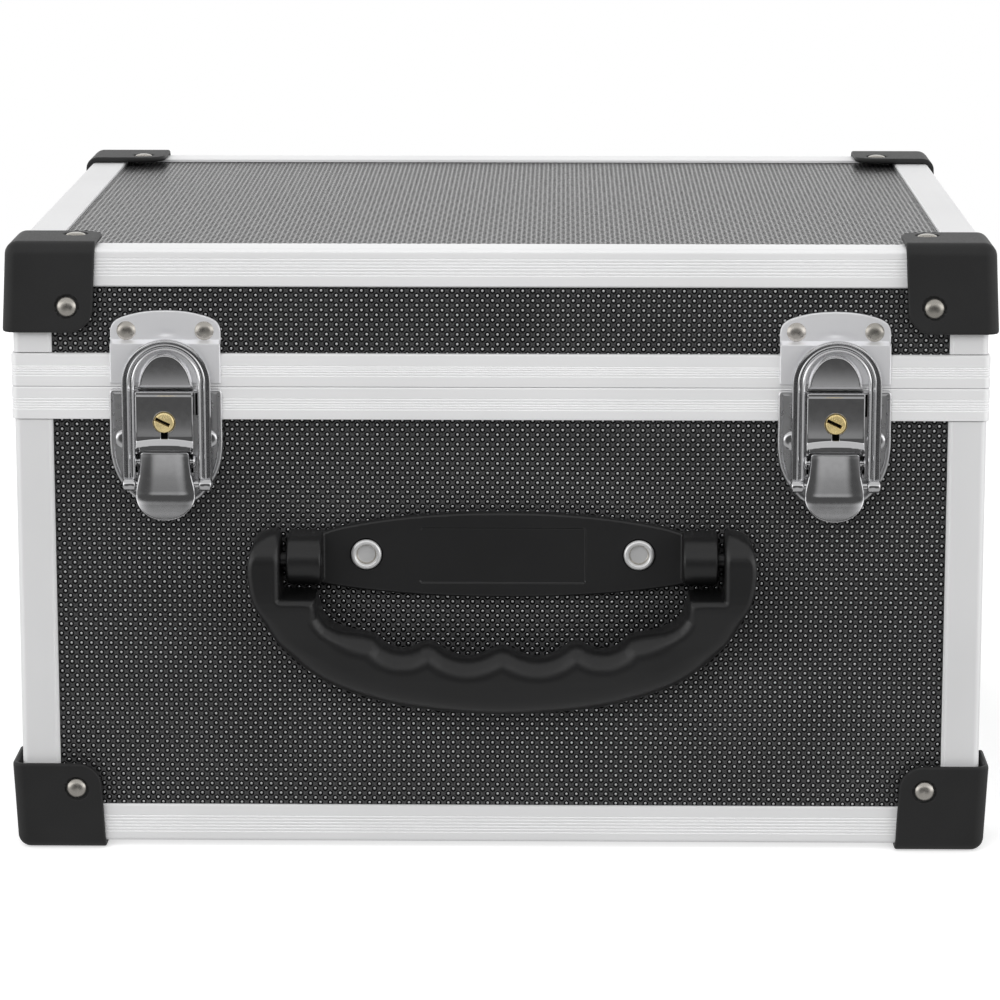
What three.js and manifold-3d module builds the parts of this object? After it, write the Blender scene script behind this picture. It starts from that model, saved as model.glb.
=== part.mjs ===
// Aluminium-framed disc case: a hinged lid on a deep body, two locking draw
// latches and a swing handle on the front. Millimetres, +Z up, front is -Y.
// z = 0 is the surface the four bottom corner caps stand on.
import * as THREE from 'three';
import { mergeVertices } from 'three/addons/utils/BufferGeometryUtils.js';
import Module from 'manifold-3d';

const wasm = await Module();
wasm.setup();

// ---------------------------------------------------------------- dimensions
const CASE_W = 310;            // across the outer faces of the corner posts
const CASE_D = 255;            // front to back across the posts
const Z_BOTTOM = 2.2;          // underside of the bottom edge angles
const Z_TOP = 196.7;           // top of the top edge angles
const Z_PART = 152.4;          // parting line between body and lid
const PART_GAP = 0.2;          // half of the gap at the parting line
const ANGLE_T = 1.2;           // wall of the aluminium angle
const ANGLE_LEG = 12.3;        // leg of the aluminium angle
const POST_R = 4;              // outer radius of the corner posts
const PANEL_T = 4;             // board thickness
const PANEL_IN = 1.3;          // board face behind the angle's outer face
const RIM_H = 10.5;            // height of each rim profile
const RIM_PROUD = 0.8;         // rim profile proud of the posts
const RIM_R = 6;               // corner radius of the rim profiles
const CAP_LEG = 28.8;          // corner cap flange, from the cap's outer face
const CAP_OUT = 1.9;           // corner cap proud of the angles
const CAP_GAP = 0.2;           // corner cap clear of the angles
const CAP_R = 4;               // outer edge radius of a corner cap
const CAP_FREE_R = 7.5;        // radius of a flange's free corner
const LINING_T = 2;            // foam lining
const DIVIDER_T = 3.6;         // centre divider
const DIVIDER_TOP = 128;
const HANDLE_X = 0.9;          // the handle sits a touch right of centre
const HANDLE_Z = 98.2;         // handle pivot height
const HANDLE_OUT = 9.7;        // handle pivot in front of the post plane
const HANDLE_END_R = 10.6;     // round end of a handle arm
const LATCH_X = 106.4;         // latch centres, left and right
const HINGE_X = 88;            // hinge centres, left and right
const HINGE_OUT = 4.0;         // hinge axis behind the back post plane
const Y_SHIFT = 6.7;           // brings the middle of the whole depth to y = 0

const HX = CASE_W / 2, HY = CASE_D / 2;
const PANEL_X = HX - PANEL_IN, PANEL_Y = HY - PANEL_IN;
const WALL_TOP = Z_PART - 3.4, LID_WALL_BOTTOM = Z_PART + 6.6;
const FLOOR_Z = Z_BOTTOM + PANEL_IN, ROOF_Z = Z_TOP - PANEL_IN;

// ------------------------------------------------------------------- helpers
const SLOTS = {
  aluminium: { color: 0xd2d3d5, roughness: 0.34, metalness: 0.95 },
  panel: { color: 0x2b2c2e, roughness: 0.55, metalness: 0.0 },
  cap: { color: 0x17181a, roughness: 0.62, metalness: 0.0 },
  handle: { color: 0x222325, roughness: 0.58, metalness: 0.0 },
  chrome: { color: 0xb9babd, roughness: 0.12, metalness: 1.0 },
  satin: { color: 0xc4c4c8, roughness: 0.3, metalness: 1.0 },
  brass: { color: 0xd8b45c, roughness: 0.25, metalness: 1.0 },
  lining: { color: 0x303236, roughness: 0.95, metalness: 0.0 },
};

function solid(geometry) {
  const g = geometry.index ? geometry.clone() : geometry;
  g.deleteAttribute('normal');
  g.deleteAttribute('uv');
  const m = mergeVertices(g, 1e-4);
  return new wasm.Manifold(new wasm.Mesh({
    numProp: 3,
    vertProperties: new Float32Array(m.attributes.position.array),
    triVerts: new Uint32Array(m.index.array),
  }));
}

function geometryOf(manifold) {
  const mesh = manifold.getMesh();
  const g = new THREE.BufferGeometry();
  const p = new Float32Array(mesh.numVert * 3);
  for (let i = 0; i < mesh.numVert; i++) {
    for (let k = 0; k < 3; k++) p[3 * i + k] = mesh.vertProperties[i * mesh.numProp + k];
  }
  g.setAttribute('position', new THREE.BufferAttribute(p, 3));
  g.setIndex(new THREE.BufferAttribute(new Uint32Array(mesh.triVerts), 1));
  const flat = g.toNonIndexed();
  flat.computeVertexNormals();
  return flat;
}

const unite = (...parts) => parts.reduce((a, b) => a.add(b));

function box(x0, x1, y0, y1, z0, z1) {
  const g = new THREE.BoxGeometry(x1 - x0, y1 - y0, z1 - z0);
  g.translate((x0 + x1) / 2, (y0 + y1) / 2, (z0 + z1) / 2);
  return solid(g);
}

function shapeOf(points, holes = []) {
  const s = new THREE.Shape(points.map(([u, v]) => new THREE.Vector2(u, v)));
  for (const h of holes) s.holes.push(new THREE.Path(h.map(([u, v]) => new THREE.Vector2(u, v))));
  return s;
}

// A prism of an outline. axis 'x': outline in (y, z). axis 'y': outline in
// (x, z). axis 'z': outline in (x, y). It runs from a to b along the axis.
function prism(axis, a, b, points, holes = []) {
  const g = new THREE.ExtrudeGeometry(shapeOf(points, holes), { depth: b - a, bevelEnabled: false });
  const X = new THREE.Vector3(1, 0, 0), Y = new THREE.Vector3(0, 1, 0), Z = new THREE.Vector3(0, 0, 1);
  const m = new THREE.Matrix4();
  if (axis === 'x') { m.makeBasis(Y, Z, X); m.setPosition(a, 0, 0); }
  else if (axis === 'y') { m.makeBasis(X, Z, Y.clone().negate()); m.setPosition(0, b, 0); }
  else m.setPosition(0, 0, a);
  g.applyMatrix4(m);
  return solid(g);
}

// Round bar between a and b along an axis, centred on the two other coordinates.
function bar(axis, a, b, c1, c2, r, segments = 24) {
  const pts = [];
  for (let i = 0; i < segments; i++) {
    const t = (2 * Math.PI * i) / segments;
    pts.push([c1 + r * Math.cos(t), c2 + r * Math.sin(t)]);
  }
  return prism(axis, a, b, pts);
}

function arc(cx, cy, r, from, to, n) {
  const pts = [];
  for (let i = 0; i <= n; i++) {
    const t = ((from + ((to - from) * i) / n) * Math.PI) / 180;
    pts.push([cx + r * Math.cos(t), cy + r * Math.sin(t)]);
  }
  return pts;
}

// Rectangle centred on the origin with rounded corners.
function roundRect(hx, hy, r, n = 5) {
  return [
    ...arc(hx - r, hy - r, r, 0, 90, n), ...arc(-hx + r, hy - r, r, 90, 180, n),
    ...arc(-hx + r, -hy + r, r, 180, 270, n), ...arc(hx - r, -hy + r, r, 270, 360, n),
  ];
}

// Frame-shaped ring between two insets from the case's plan outline.
function ring(outset, inset, z0, z1) {
  return prism('z', z0, z1,
    roundRect(HX + outset, HY + outset, Math.max(RIM_R - RIM_PROUD + outset, 0.6)),
    [roundRect(HX + inset, HY + inset, Math.max(RIM_R - RIM_PROUD + inset, 0.6)).reverse()]);
}

// Aluminium angle with its outer corner at the origin of (u, v), legs along -u and -v.
function angleOutline(r, sharpInside = false) {
  const L = ANGLE_LEG, T = ANGLE_T, n = 4;
  const inside = sharpInside ? [[-T, -T]] : arc(-r, -r, r - T, 90, 0, n);
  return [[-L, 0], [-L, -T], ...inside, [-T, -L], [0, -L], ...arc(-r, -r, r, 0, 90, n)];
}

const caseGroup = new THREE.Group();
caseGroup.position.set(0, Y_SHIFT, 0);
const exportRoot = new THREE.Group();
exportRoot.name = 'disc_case';
exportRoot.add(caseGroup);

// Small pieces are drawn where they are used most often, then placed or mirrored.
function place(name, slot, manifold, { mirror = [1, 1, 1], at = [0, 0, 0] } = {}) {
  const g = geometryOf(manifold);
  const [sx, sy, sz] = mirror;
  const p = g.attributes.position;
  for (let i = 0; i < p.count; i++) p.setXYZ(i, p.getX(i) * sx, p.getY(i) * sy, p.getZ(i) * sz);
  if (sx * sy * sz < 0) {
    for (let i = 0; i < p.count; i += 3) {
      const a = [p.getX(i), p.getY(i), p.getZ(i)];
      p.setXYZ(i, p.getX(i + 1), p.getY(i + 1), p.getZ(i + 1));
      p.setXYZ(i + 1, ...a);
    }
  }
  g.computeVertexNormals();
  const mesh = new THREE.Mesh(g, new THREE.MeshStandardMaterial(SLOTS[slot]));
  mesh.name = name;
  mesh.position.set(...at);
  caseGroup.add(mesh);
  return mesh;
}

// -------------------------------------------------------------------- boards
const WX = PANEL_X - PANEL_T - 0.3;        // boards between the side walls
const WY = PANEL_Y - PANEL_T - 0.3;
function walls(prefix, z0, z1) {
  place(`${prefix}_front_panel`, 'panel', box(-WX, WX, -PANEL_Y, -PANEL_Y + PANEL_T, z0, z1));
  place(`${prefix}_back_panel`, 'panel', box(-WX, WX, PANEL_Y - PANEL_T, PANEL_Y, z0, z1));
  place(`${prefix}_left_panel`, 'panel', box(-PANEL_X, -PANEL_X + PANEL_T, -WY, WY, z0, z1));
  place(`${prefix}_right_panel`, 'panel', box(PANEL_X - PANEL_T, PANEL_X, -WY, WY, z0, z1));
}
walls('body', FLOOR_Z, WALL_TOP);
place('body_bottom_panel', 'panel', box(-WX, WX, -WY, WY, FLOOR_Z, FLOOR_Z + PANEL_T));
walls('lid', LID_WALL_BOTTOM, ROOF_Z);
place('lid_top_panel', 'panel', box(-WX, WX, -WY, WY, ROOF_Z - PANEL_T, ROOF_Z));

// --------------------------------------------------------------- rim profiles
const bodyRim = unite(
  ring(RIM_PROUD, -1.2, Z_PART - RIM_H, Z_PART - PART_GAP),                 // outer flange
  ring(-1.1, -7.0, WALL_TOP + 0.3, Z_PART - PART_GAP),                      // web over the board
  ring(-5.4, -7.0, Z_PART - RIM_H, WALL_TOP + 0.4),                         // inner flange
  ring(-4.0, -5.6, Z_PART - 0.5, Z_PART + 2.7),                             // tongue
);
place('body_rim_frame', 'aluminium', bodyRim);
const lidRim = unite(
  ring(RIM_PROUD, -1.2, Z_PART + PART_GAP, Z_PART + RIM_H + 0.1),           // outer flange
  ring(-1.1, -3.3, Z_PART + PART_GAP, Z_PART + 2.0),                        // lip of the groove
  ring(-1.1, -7.4, Z_PART + 4.2, LID_WALL_BOTTOM - 0.3),                    // web under the board
  ring(-6.2, -7.4, Z_PART + PART_GAP, Z_PART + RIM_H + 0.1),                // inner flange
);
place('lid_rim_frame', 'aluminium', lidRim);

// --------------------------------------------------------------- edge angles
const RUN_X = HX - ANGLE_LEG - 0.3, RUN_Y = HY - ANGLE_LEG - 0.3;
const POST_Z0 = Z_BOTTOM + 3, POST_Z1 = Z_PART - RIM_H - 0.3;
const LPOST_Z0 = Z_PART + RIM_H + 0.4, LPOST_Z1 = Z_TOP - 3;
const postOutline = angleOutline(POST_R).map(([u, v]) => [HX + u, HY + v]);
const bodyPost = prism('z', POST_Z0, POST_Z1, postOutline.slice().reverse());
const lidPost = prism('z', LPOST_Z0, LPOST_Z1, postOutline.slice().reverse());
for (const [name, sx, sy] of [['front_left', -1, -1], ['front_right', 1, -1], ['back_left', -1, 1], ['back_right', 1, 1]]) {
  place(`body_post_${name}`, 'aluminium', bodyPost, { mirror: [sx, sy, 1] });
  place(`lid_post_${name}`, 'aluminium', lidPost, { mirror: [sx, sy, 1] });
}
const edgeOutline = angleOutline(2.5, true);
const longEdge = prism('x', -RUN_X, RUN_X, edgeOutline.map(([u, v]) => [HY + u, Z_TOP + v]).reverse());
const shortEdge = prism('y', -RUN_Y, RUN_Y, edgeOutline.map(([u, v]) => [HX + u, Z_TOP + v]).reverse());
for (const [level, sz, z] of [['top', 1, 0], ['bottom', -1, Z_TOP + Z_BOTTOM]]) {
  place(`${level}_edge_front`, 'aluminium', longEdge, { mirror: [1, -1, sz], at: [0, 0, z] });
  place(`${level}_edge_back`, 'aluminium', longEdge, { mirror: [1, 1, sz], at: [0, 0, z] });
  place(`${level}_edge_left`, 'aluminium', shortEdge, { mirror: [-1, 1, sz], at: [0, 0, z] });
  place(`${level}_edge_right`, 'aluminium', shortEdge, { mirror: [1, 1, sz], at: [0, 0, z] });
}

// --------------------------------------------------------------- corner caps
// Three flanges meeting at an outer corner; the outline of each flange has a
// rounded free corner, and the edges between the flanges are rounded.
function capOutline(c1, c2, leg, rOut, rFree) {
  return [
    [c1, c2 - leg], ...arc(c1 - rOut, c2 - rOut, rOut, 0, 90, 5), [c1 - leg, c2],
    ...arc(c1 - leg + rFree, c2 - leg + rFree, rFree, 180, 270, 6),
  ];
}
{
  const L = CAP_LEG;
  const cx = HX + CAP_OUT, cy = HY + CAP_OUT, cz = Z_TOP + CAP_OUT + 0.2;
  const outer = prism('x', cx - L, cx, capOutline(cy, cz, L, CAP_R, CAP_FREE_R))
    .intersect(prism('y', cy - L, cy, capOutline(cx, cz, L, CAP_R, CAP_FREE_R)))
    .intersect(prism('z', cz - L, cz, capOutline(cx, cy, L, CAP_R, CAP_FREE_R)));
  const ix = HX + CAP_GAP, iy = HY + CAP_GAP, iz = Z_TOP + CAP_GAP;
  const K = 60, r = 2.6;
  const inner = prism('x', ix - K, ix, capOutline(iy, iz, K, r, 1))
    .intersect(prism('y', iy - K, iy, capOutline(ix, iz, K, r, 1)))
    .intersect(prism('z', iz - K, iz, capOutline(ix, iy, K, r, 1)));
  const cap = outer.subtract(inner);
  for (const [name, sx, sy] of [['front_left', -1, -1], ['front_right', 1, -1], ['back_left', -1, 1], ['back_right', 1, 1]]) {
    place(`top_cap_${name}`, 'cap', cap, { mirror: [sx, sy, 1] });
    place(`bottom_cap_${name}`, 'cap', cap, { mirror: [sx, sy, -1], at: [0, 0, cz] });
  }
}

// ------------------------------------------------------- lining and divider
const LX = WX + 0.1, LY = WY + 0.1;
const liningTop = POST_Z1;
const guides = [];
for (const sx of [-1, 1]) {
  for (const sy of [-1, 1]) {
    const x0 = sx * (DIVIDER_T / 2 + 0.3), x1 = sx * (DIVIDER_T / 2 + 2.3);
    const y0 = sy * (LY - LINING_T - 6), y1 = sy * (LY - 0.5);
    guides.push(box(Math.min(x0, x1), Math.max(x0, x1), Math.min(y0, y1), Math.max(y0, y1), FLOOR_Z + PANEL_T + 1, DIVIDER_TOP));
  }
}
const bodyLining = unite(
  box(-LX, LX, -LY, LY, FLOOR_Z + PANEL_T + 0.2, liningTop)
    .subtract(box(-LX + LINING_T, LX - LINING_T, -LY + LINING_T, LY - LINING_T, FLOOR_Z + PANEL_T + 0.2 + LINING_T, 200)),
  ...guides,
);
place('body_lining', 'lining', bodyLining);
const lidLining = box(-LX, LX, -LY, LY, LPOST_Z0, ROOF_Z - PANEL_T - 0.2)
  .subtract(box(-LX + LINING_T, LX - LINING_T, -LY + LINING_T, LY - LINING_T, 100, ROOF_Z - PANEL_T - 0.2 - LINING_T));
place('lid_lining', 'lining', lidLining);
place('centre_divider', 'lining', box(-DIVIDER_T / 2, DIVIDER_T / 2, -LY + LINING_T + 0.4, LY - LINING_T - 0.4,
  FLOOR_Z + PANEL_T + LINING_T + 0.5, DIVIDER_TOP));

// -------------------------------------------------------------------- hinges
// Two butt hinges on the back of the rim profiles. w is measured out of the
// back post plane, so w = 4 is the axis.
{
  const HW = 25, RK = 2.9, RP = 1.45, RB = 1.7, MID = 8.6, GAP = 0.3;
  const yw = (w) => HY + w;
  const ay = yw(HINGE_OUT), az = Z_PART;
  const plateB = box(-HW, HW, yw(0.95), yw(2.15), Z_PART - 22, Z_PART - 0.1);
  const plateL = box(-HW, HW, yw(0.95), yw(2.15), Z_PART + 0.1, Z_PART + 22);
  const bodyLeaf = unite(
    plateB.subtract(bar('x', -MID - GAP, MID + GAP, ay, az, RK + 0.35, 28)),
    bar('x', -HW, -MID - GAP, ay, az, RK, 28), bar('x', MID + GAP, HW, ay, az, RK, 28),
  ).subtract(bar('x', -HW - 1, HW + 1, ay, az, RB, 28));
  const lidLeaf = unite(
    plateL.subtract(bar('x', -HW - 1, -MID, ay, az, RK + 0.35, 28)).subtract(bar('x', MID, HW + 1, ay, az, RK + 0.35, 28)),
    bar('x', -MID, MID, ay, az, RK, 28),
  ).subtract(bar('x', -HW - 1, HW + 1, ay, az, RB, 28));
  const pin = bar('x', -HW + 0.6, HW - 0.6, ay, az, RP, 20);
  for (const [side, s] of [['left', -1], ['right', 1]]) {
    place(`hinge_${side}_body_leaf`, 'satin', bodyLeaf, { at: [s * HINGE_X, 0, 0] });
    place(`hinge_${side}_lid_leaf`, 'satin', lidLeaf, { at: [s * HINGE_X, 0, 0] });
    place(`hinge_${side}_pin`, 'chrome', pin, { at: [s * HINGE_X, 0, 0] });
  }
}

// ------------------------------------------------------------------- latches
// Drawn at x = 0. f(w) is the y of a point w in front of the post plane.
const f = (w) => -HY - w;
const yz = (points) => points.map(([w, z]) => [f(w), z]);
{
  const PIVOT = [5.4, 129.2];       // lever pivot (w, z)
  const LINK = [4.6, 121.5];        // bail pin (w, z), closed
  const LOCK_Z = 142.1;

  // Catch plate on the lid: a stamped plate that steps out over the rim, with
  // a formed tongue that the bail closes over.
  const catchFace = [
    [-17.6, 153.7], [17.6, 153.7], [17.6, 171.0], [17.2, 172.3], [16.0, 173.5], [13.4, 174.8], [7.8, 176.2], [0, 176.8],
    [-7.8, 176.2], [-13.4, 174.8], [-16.0, 173.5], [-17.2, 172.3], [-17.6, 171.0],
  ];
  const catchSide = yz([[0, 178], [0, 167.7], [2.1, 165.8], [2.1, 153], [0.95, 153], [0.95, 165.35], [-1.2, 167.3], [-1.2, 178]]);
  const tongueFace = [[-7.8, 153.9], [7.8, 153.9], [7.6, 156.6], [6.9, 158.9], [5.7, 160.9], [4.0, 162.2], [2.1, 162.8], [0, 163.0],
    [-2.1, 162.8], [-4.0, 162.2], [-5.7, 160.9], [-6.9, 158.9], [-7.6, 156.6]];
  const tongueSide = yz([[1.6, 154.0], [2.3, 153.9], [3.3, 154.8], [3.85, 156.6], [4.0, 159.5], [3.9, 163.2], [2.8, 163.2], [2.85, 159.6], [2.6, 157.6], [1.6, 156.6]]);
  const catchPlate = prism('y', f(4), f(-3), catchFace).intersect(prism('x', -20, 20, catchSide))
    .add(prism('y', f(6), f(0), tongueFace).intersect(prism('x', -20, 20, tongueSide)));

  // Base: a shallow tray riveted to the body, with the lock housing on it. The
  // housing is open below, and its two cheeks carry the lever's pivot.
  const tray = [
    [17.2, 151.9], [-17.2, 151.9], [-18, 151.1], [-18, 133.5], [-17.4, 128.6], [-16.2, 124.6], [-14.4, 121.2], [-12.2, 118.3], [-9.8, 116.2],
    [-5, 114.0], [0, 113.2], [5, 114.0], [9.8, 116.2], [12.2, 118.3], [14.4, 121.2], [16.2, 124.6], [17.4, 128.6], [18, 133.5], [18, 151.1],
  ];
  const inset = tray.map(([x, z]) => {
    const r = Math.hypot(x, z - 134), k = (r - 1.3) / r;
    return [x * k, 134 + (z - 134) * k];
  });
  const trayWall = prism('y', f(1.5), f(-1.2), tray).subtract(prism('y', f(3), f(-3), inset))
    .intersect(box(-30, 30, f(5), f(-5), 100, 141.6));
  const trayPlate = prism('y', f(2.1), f(0.95), tray);
  const cheek = (u0, u1) => unite(
    prism('x', u0, u1, yz([[1.6, 151.9], [8.5, 151.9], [8.5, 136.0], [7.2, 133.6], [7.2, 129], [1.6, 129]])),
    prism('x', u0, u1, arc(f(PIVOT[0]), PIVOT[1], 4.8, 0, 360, 24).slice(0, 24)).intersect(box(-30, 30, f(8.6), f(1.6), 100, 160)),
  );
  const face = prism('x', -9.2, 9.2, yz([[8.5, 151.9], [8.5, 136.0], [7.3, 133.6], [6.3, 134.1], [7.5, 136.5], [7.5, 150.9], [1.6, 150.9], [1.6, 151.9]]));
  const housing = unite(face, cheek(-9.2, -8.5), cheek(8.5, 9.2))
    .subtract(bar('y', f(12), f(6), 0, LOCK_Z, 3.4, 28))
    .subtract(box(-1.1, 1.1, f(12), f(6), LOCK_Z - 5.4, LOCK_Z - 2));
  const pivotPin = bar('x', -9.6, 9.6, f(PIVOT[0]), PIVOT[1], 1.2, 16);
  const base = unite(trayPlate, trayWall, housing, pivotPin);

  // Lever: a tab that widens to a round finger lip, with two flanges behind it
  // that turn on the pivot and carry the bail's pin.
  const tabFace = [
    [-7.75, 132.0], [-8.1, 127], [-8.25, 125.5], [-9.1, 121.5], ...arc(0, 0, 9.5, 180, 360, 16).map(([u, v]) => [u, 118.1 + v * 7.5 / 9.5]), [9.1, 121.5], [8.25, 125.5], [8.1, 127], [7.75, 132.0],
  ];
  const tabSide = yz([[7.2, 133], [8.1, 133], [8.1, 117.2], [8.5, 115.4], [9.6, 112.4], [10.3, 108], [9.3, 108], [8.5, 112.4], [7.4, 115.2], [7.0, 117.2]]);
  const tab = prism('y', f(12), f(4), tabFace).intersect(prism('x', -20, 20, tabSide));
  const flangeSide = [
    ...arc(f(PIVOT[0]), PIVOT[1], 2.8, 0, 180, 10),
    [f(7.6), PIVOT[1]], [f(7.6), 118.4], [f(6.4), 118.4],
    ...arc(f(LINK[0]), LINK[1], 2.1, 270, 360, 5),
  ];
  const flange = (u0, u1) => prism('x', u0, u1, flangeSide.slice().reverse())
    .subtract(bar('x', -20, 20, f(PIVOT[0]), PIVOT[1], 1.4, 20))
    .subtract(bar('x', -20, 20, f(LINK[0]), LINK[1], 1.4, 20));
  const lever = unite(tab, flange(-7.6, -6.6), flange(6.6, 7.6));

  // Bail: an arched strap with two legs and a pin across its feet.
  const outerArch = [], innerArch = [];
  for (let i = 0; i <= 20; i++) {
    const t = (Math.PI * i) / 20;
    outerArch.push([14.2 * Math.cos(t), 154.2 + 14.6 * Math.sin(t)]);
    innerArch.push([10.0 * Math.cos(t), 154.2 + 9.3 * Math.sin(t)]);
  }
  const strap = [[14.2, LINK[1]], ...outerArch, [-14.2, LINK[1]], [-10.0, LINK[1]], ...innerArch.reverse(), [10.0, LINK[1]]];
  let bail = prism('y', f(LINK[0] + 0.8), f(LINK[0] - 0.8), strap);
  bail = unite(bail,
    bar('x', 10.0, 14.2, f(LINK[0]), LINK[1], 2.1, 20), bar('x', -14.2, -10.0, f(LINK[0]), LINK[1], 2.1, 20),
    bar('x', -14.6, 14.6, f(LINK[0]), LINK[1], 1.15, 20));
  // leans out by 0.5 mm at the arch, so it clears the tongue
  const bailGeometry = geometryOf(bail);
  bailGeometry.translate(0, -f(LINK[0]), -LINK[1]);
  bailGeometry.rotateX((0.67 * Math.PI) / 180);
  bailGeometry.translate(0, f(LINK[0]), LINK[1]);
  bail = solid(bailGeometry);

  // Lock cylinder with a driver slot and a flat cam inside the housing.
  const slot = box(-2.6, 2.6, f(9.6), f(8.4), -0.55, 0.55);
  const slotGeometry = geometryOf(slot);
  slotGeometry.rotateY((25 * Math.PI) / 180);
  slotGeometry.translate(0, 0, LOCK_Z);
  const cylinder = unite(
    bar('y', f(9.1), f(3.2), 0, LOCK_Z, 3.2, 28),
    box(-7.4, 1.5, f(4.4), f(3.2), LOCK_Z - 1.5, LOCK_Z + 1.5),
  ).subtract(solid(slotGeometry));

  for (const [side, s] of [['left', -1], ['right', 1]]) {
    const at = [s * LATCH_X, 0, 0];
    place(`latch_${side}_catch`, 'satin', catchPlate, { at });
    place(`latch_${side}_base`, 'chrome', base, { at });
    place(`latch_${side}_lever`, 'chrome', lever, { at });
    place(`latch_${side}_bail`, 'chrome', bail, { at });
    place(`latch_${side}_lock_cylinder`, 'brass', cylinder, { at });
  }
}

// -------------------------------------------------------------------- handle
{
  const half = (pts) => [...pts, ...pts.slice().reverse().map(([x, z]) => [-x, z])];
  // Mounting plate: a shallow lens with a boss at each end for the pivots.
  const top = [[0, 112.2], [15, 111.9], [30, 110.8], [42, 109.2], [52, 107.3], [58, 105.4]];
  const bottom = [[58, 88.8], [45, 86.9], [30, 85.5], [15, 84.7], [0, 84.5]];
  const lens = [...top, ...bottom, ...bottom.slice().reverse().slice(1).map(([x, z]) => [-x, z]), ...top.slice().reverse().map(([x, z]) => [-x, z]).slice(0, -1)];
  const plate = prism('y', f(3.2), f(-1.2), lens.slice().reverse())
    .subtract(box(-26.5, 26.5, f(4), f(2.6), 89.2, 107.2));
  const boss = (u0, u1) => unite(
    box(u0, u1, f(HANDLE_OUT), f(-1.2), HANDLE_Z - 7.7, HANDLE_Z + 7.7),
    bar('x', u0, u1, f(HANDLE_OUT), HANDLE_Z, 7.7, 32),
  ).subtract(bar('x', u0 - 1, u1 + 1, f(HANDLE_OUT), HANDLE_Z, 2.6, 20));
  const mount = unite(plate, boss(57.5, 68.5), boss(-68.5, -57.5))
    .subtract(bar('y', f(9), f(1.4), 43.6, 98.6, 5.1, 28)).subtract(bar('y', f(9), f(1.4), -43.6, 98.6, 5.1, 28));
  place('handle_plate', 'handle', mount, { at: [HANDLE_X, 0, 0] });

  // Grip: a crescent with four finger grooves and a round-ended arm at each
  // end. Stub pins on the arms turn in the bosses.
  const outer = [[0, 46.4], [8, 46.7], [17, 47.6], [26, 48.9], [35.5, 50.7], [42.5, 52.8], [48.5, 54.8], [54.5, 57.3], [60, 60.6], [65, 64.5],
    [69.5, 69.1], [73, 73.8], [76.5, 80], [79.2, 86], [80.5, 92], [80.8, 97], [80.2, 101], [78.6, 104.8], [75.2, 107.8], [72.5, 108.8], [70.5, 108.9]];
  const inner = [[70.5, 87], [59.4, 87], [58.6, 84.2], [57.8, 81], [55.5, 77.8], [51.2, 75.6], [45.8, 74.7], [40.4, 73.5], [37.7, 70.9], [33.9, 69.1],
    [29.6, 69.2], [26.4, 70.8], [23.7, 71.5], [21, 70.7], [17.5, 68.2], [13.5, 66.7], [9.6, 66.6], [5.9, 67.7], [2.6, 69.4], [0, 69.9]];
  const right = [...outer, ...inner];
  const outline = [...right, ...right.slice(1, -1).reverse().map(([x, z]) => [-x, z])];
  const side = [
    ...arc(f(HANDLE_OUT), HANDLE_Z, HANDLE_END_R, 180, 0, 20),
    [f(-0.9), 84], [f(0.2), 72], [f(0.8), 60], [f(2.6), 50], [f(5), 46], [f(13), 46], [f(15.6), 50], [f(17.6), 60], [f(18.8), 72], [f(20.3), 86],
  ];
  const crescent = prism('y', f(24), f(-4), outline).intersect(prism('x', -90, 90, side));
  const grip = unite(crescent,
    bar('x', 61.5, 72, f(HANDLE_OUT), HANDLE_Z, 2.3, 20), bar('x', -72, -61.5, f(HANDLE_OUT), HANDLE_Z, 2.3, 20));
  place('handle_grip', 'handle', grip, { at: [HANDLE_X, 0, 0] });

  // Hollow rivets that fasten the plate: a round head with a sunk middle.
  const profile = [[0, 0], [3.6, 0], [3.6, 1.6], [4.9, 1.6], [4.9, 2.4], [4.5, 2.9], [3.7, 3.1], [3.2, 2.8], [3.1, 1.4], [0, 1.4]];
  const head = new THREE.LatheGeometry(profile.map(([x, y]) => new THREE.Vector2(x, y)), 28);
  head.rotateX(Math.PI);
  head.translate(0, f(1.5), 98.6);
  for (const [sideName, s] of [['left', -1], ['right', 1]]) {
    place(`handle_rivet_${sideName}`, 'satin', solid(head.clone()), { at: [HANDLE_X + s * 43.6, 0, 0] });
  }
}

export default exportRoot;
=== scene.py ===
"""Aluminium-framed disc case. Lengths are in millimetres in the case's own frame
(front at -y), and become metres in the row frame when a mesh is made."""
import math

import bpy
import numpy as np
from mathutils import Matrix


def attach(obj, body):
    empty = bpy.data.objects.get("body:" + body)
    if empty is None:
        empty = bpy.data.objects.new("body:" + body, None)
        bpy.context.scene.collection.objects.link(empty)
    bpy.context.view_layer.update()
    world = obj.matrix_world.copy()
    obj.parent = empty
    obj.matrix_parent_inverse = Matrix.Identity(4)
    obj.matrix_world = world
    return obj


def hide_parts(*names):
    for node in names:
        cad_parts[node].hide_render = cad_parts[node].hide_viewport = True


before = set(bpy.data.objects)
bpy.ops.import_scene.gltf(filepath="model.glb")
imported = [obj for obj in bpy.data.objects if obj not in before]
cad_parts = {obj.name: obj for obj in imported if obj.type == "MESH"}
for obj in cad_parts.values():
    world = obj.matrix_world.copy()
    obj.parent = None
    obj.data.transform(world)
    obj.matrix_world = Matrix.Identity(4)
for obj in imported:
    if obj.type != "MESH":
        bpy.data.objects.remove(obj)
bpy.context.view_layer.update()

HX, HY = 155.0, 127.5            # post planes
Z_BOTTOM, Z_TOP, Z_PART = 2.2, 196.7, 152.4
Y_SHIFT = 6.7
LATCH_X = 106.4
HANDLE_X = 0.9
HINGE_X = 88.0


# ---------------------------------------------------------------- mesh making
def to_row(V):
    V = np.array(V, float)
    V[:, 1] += Y_SHIFT
    return V * 0.001


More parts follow.
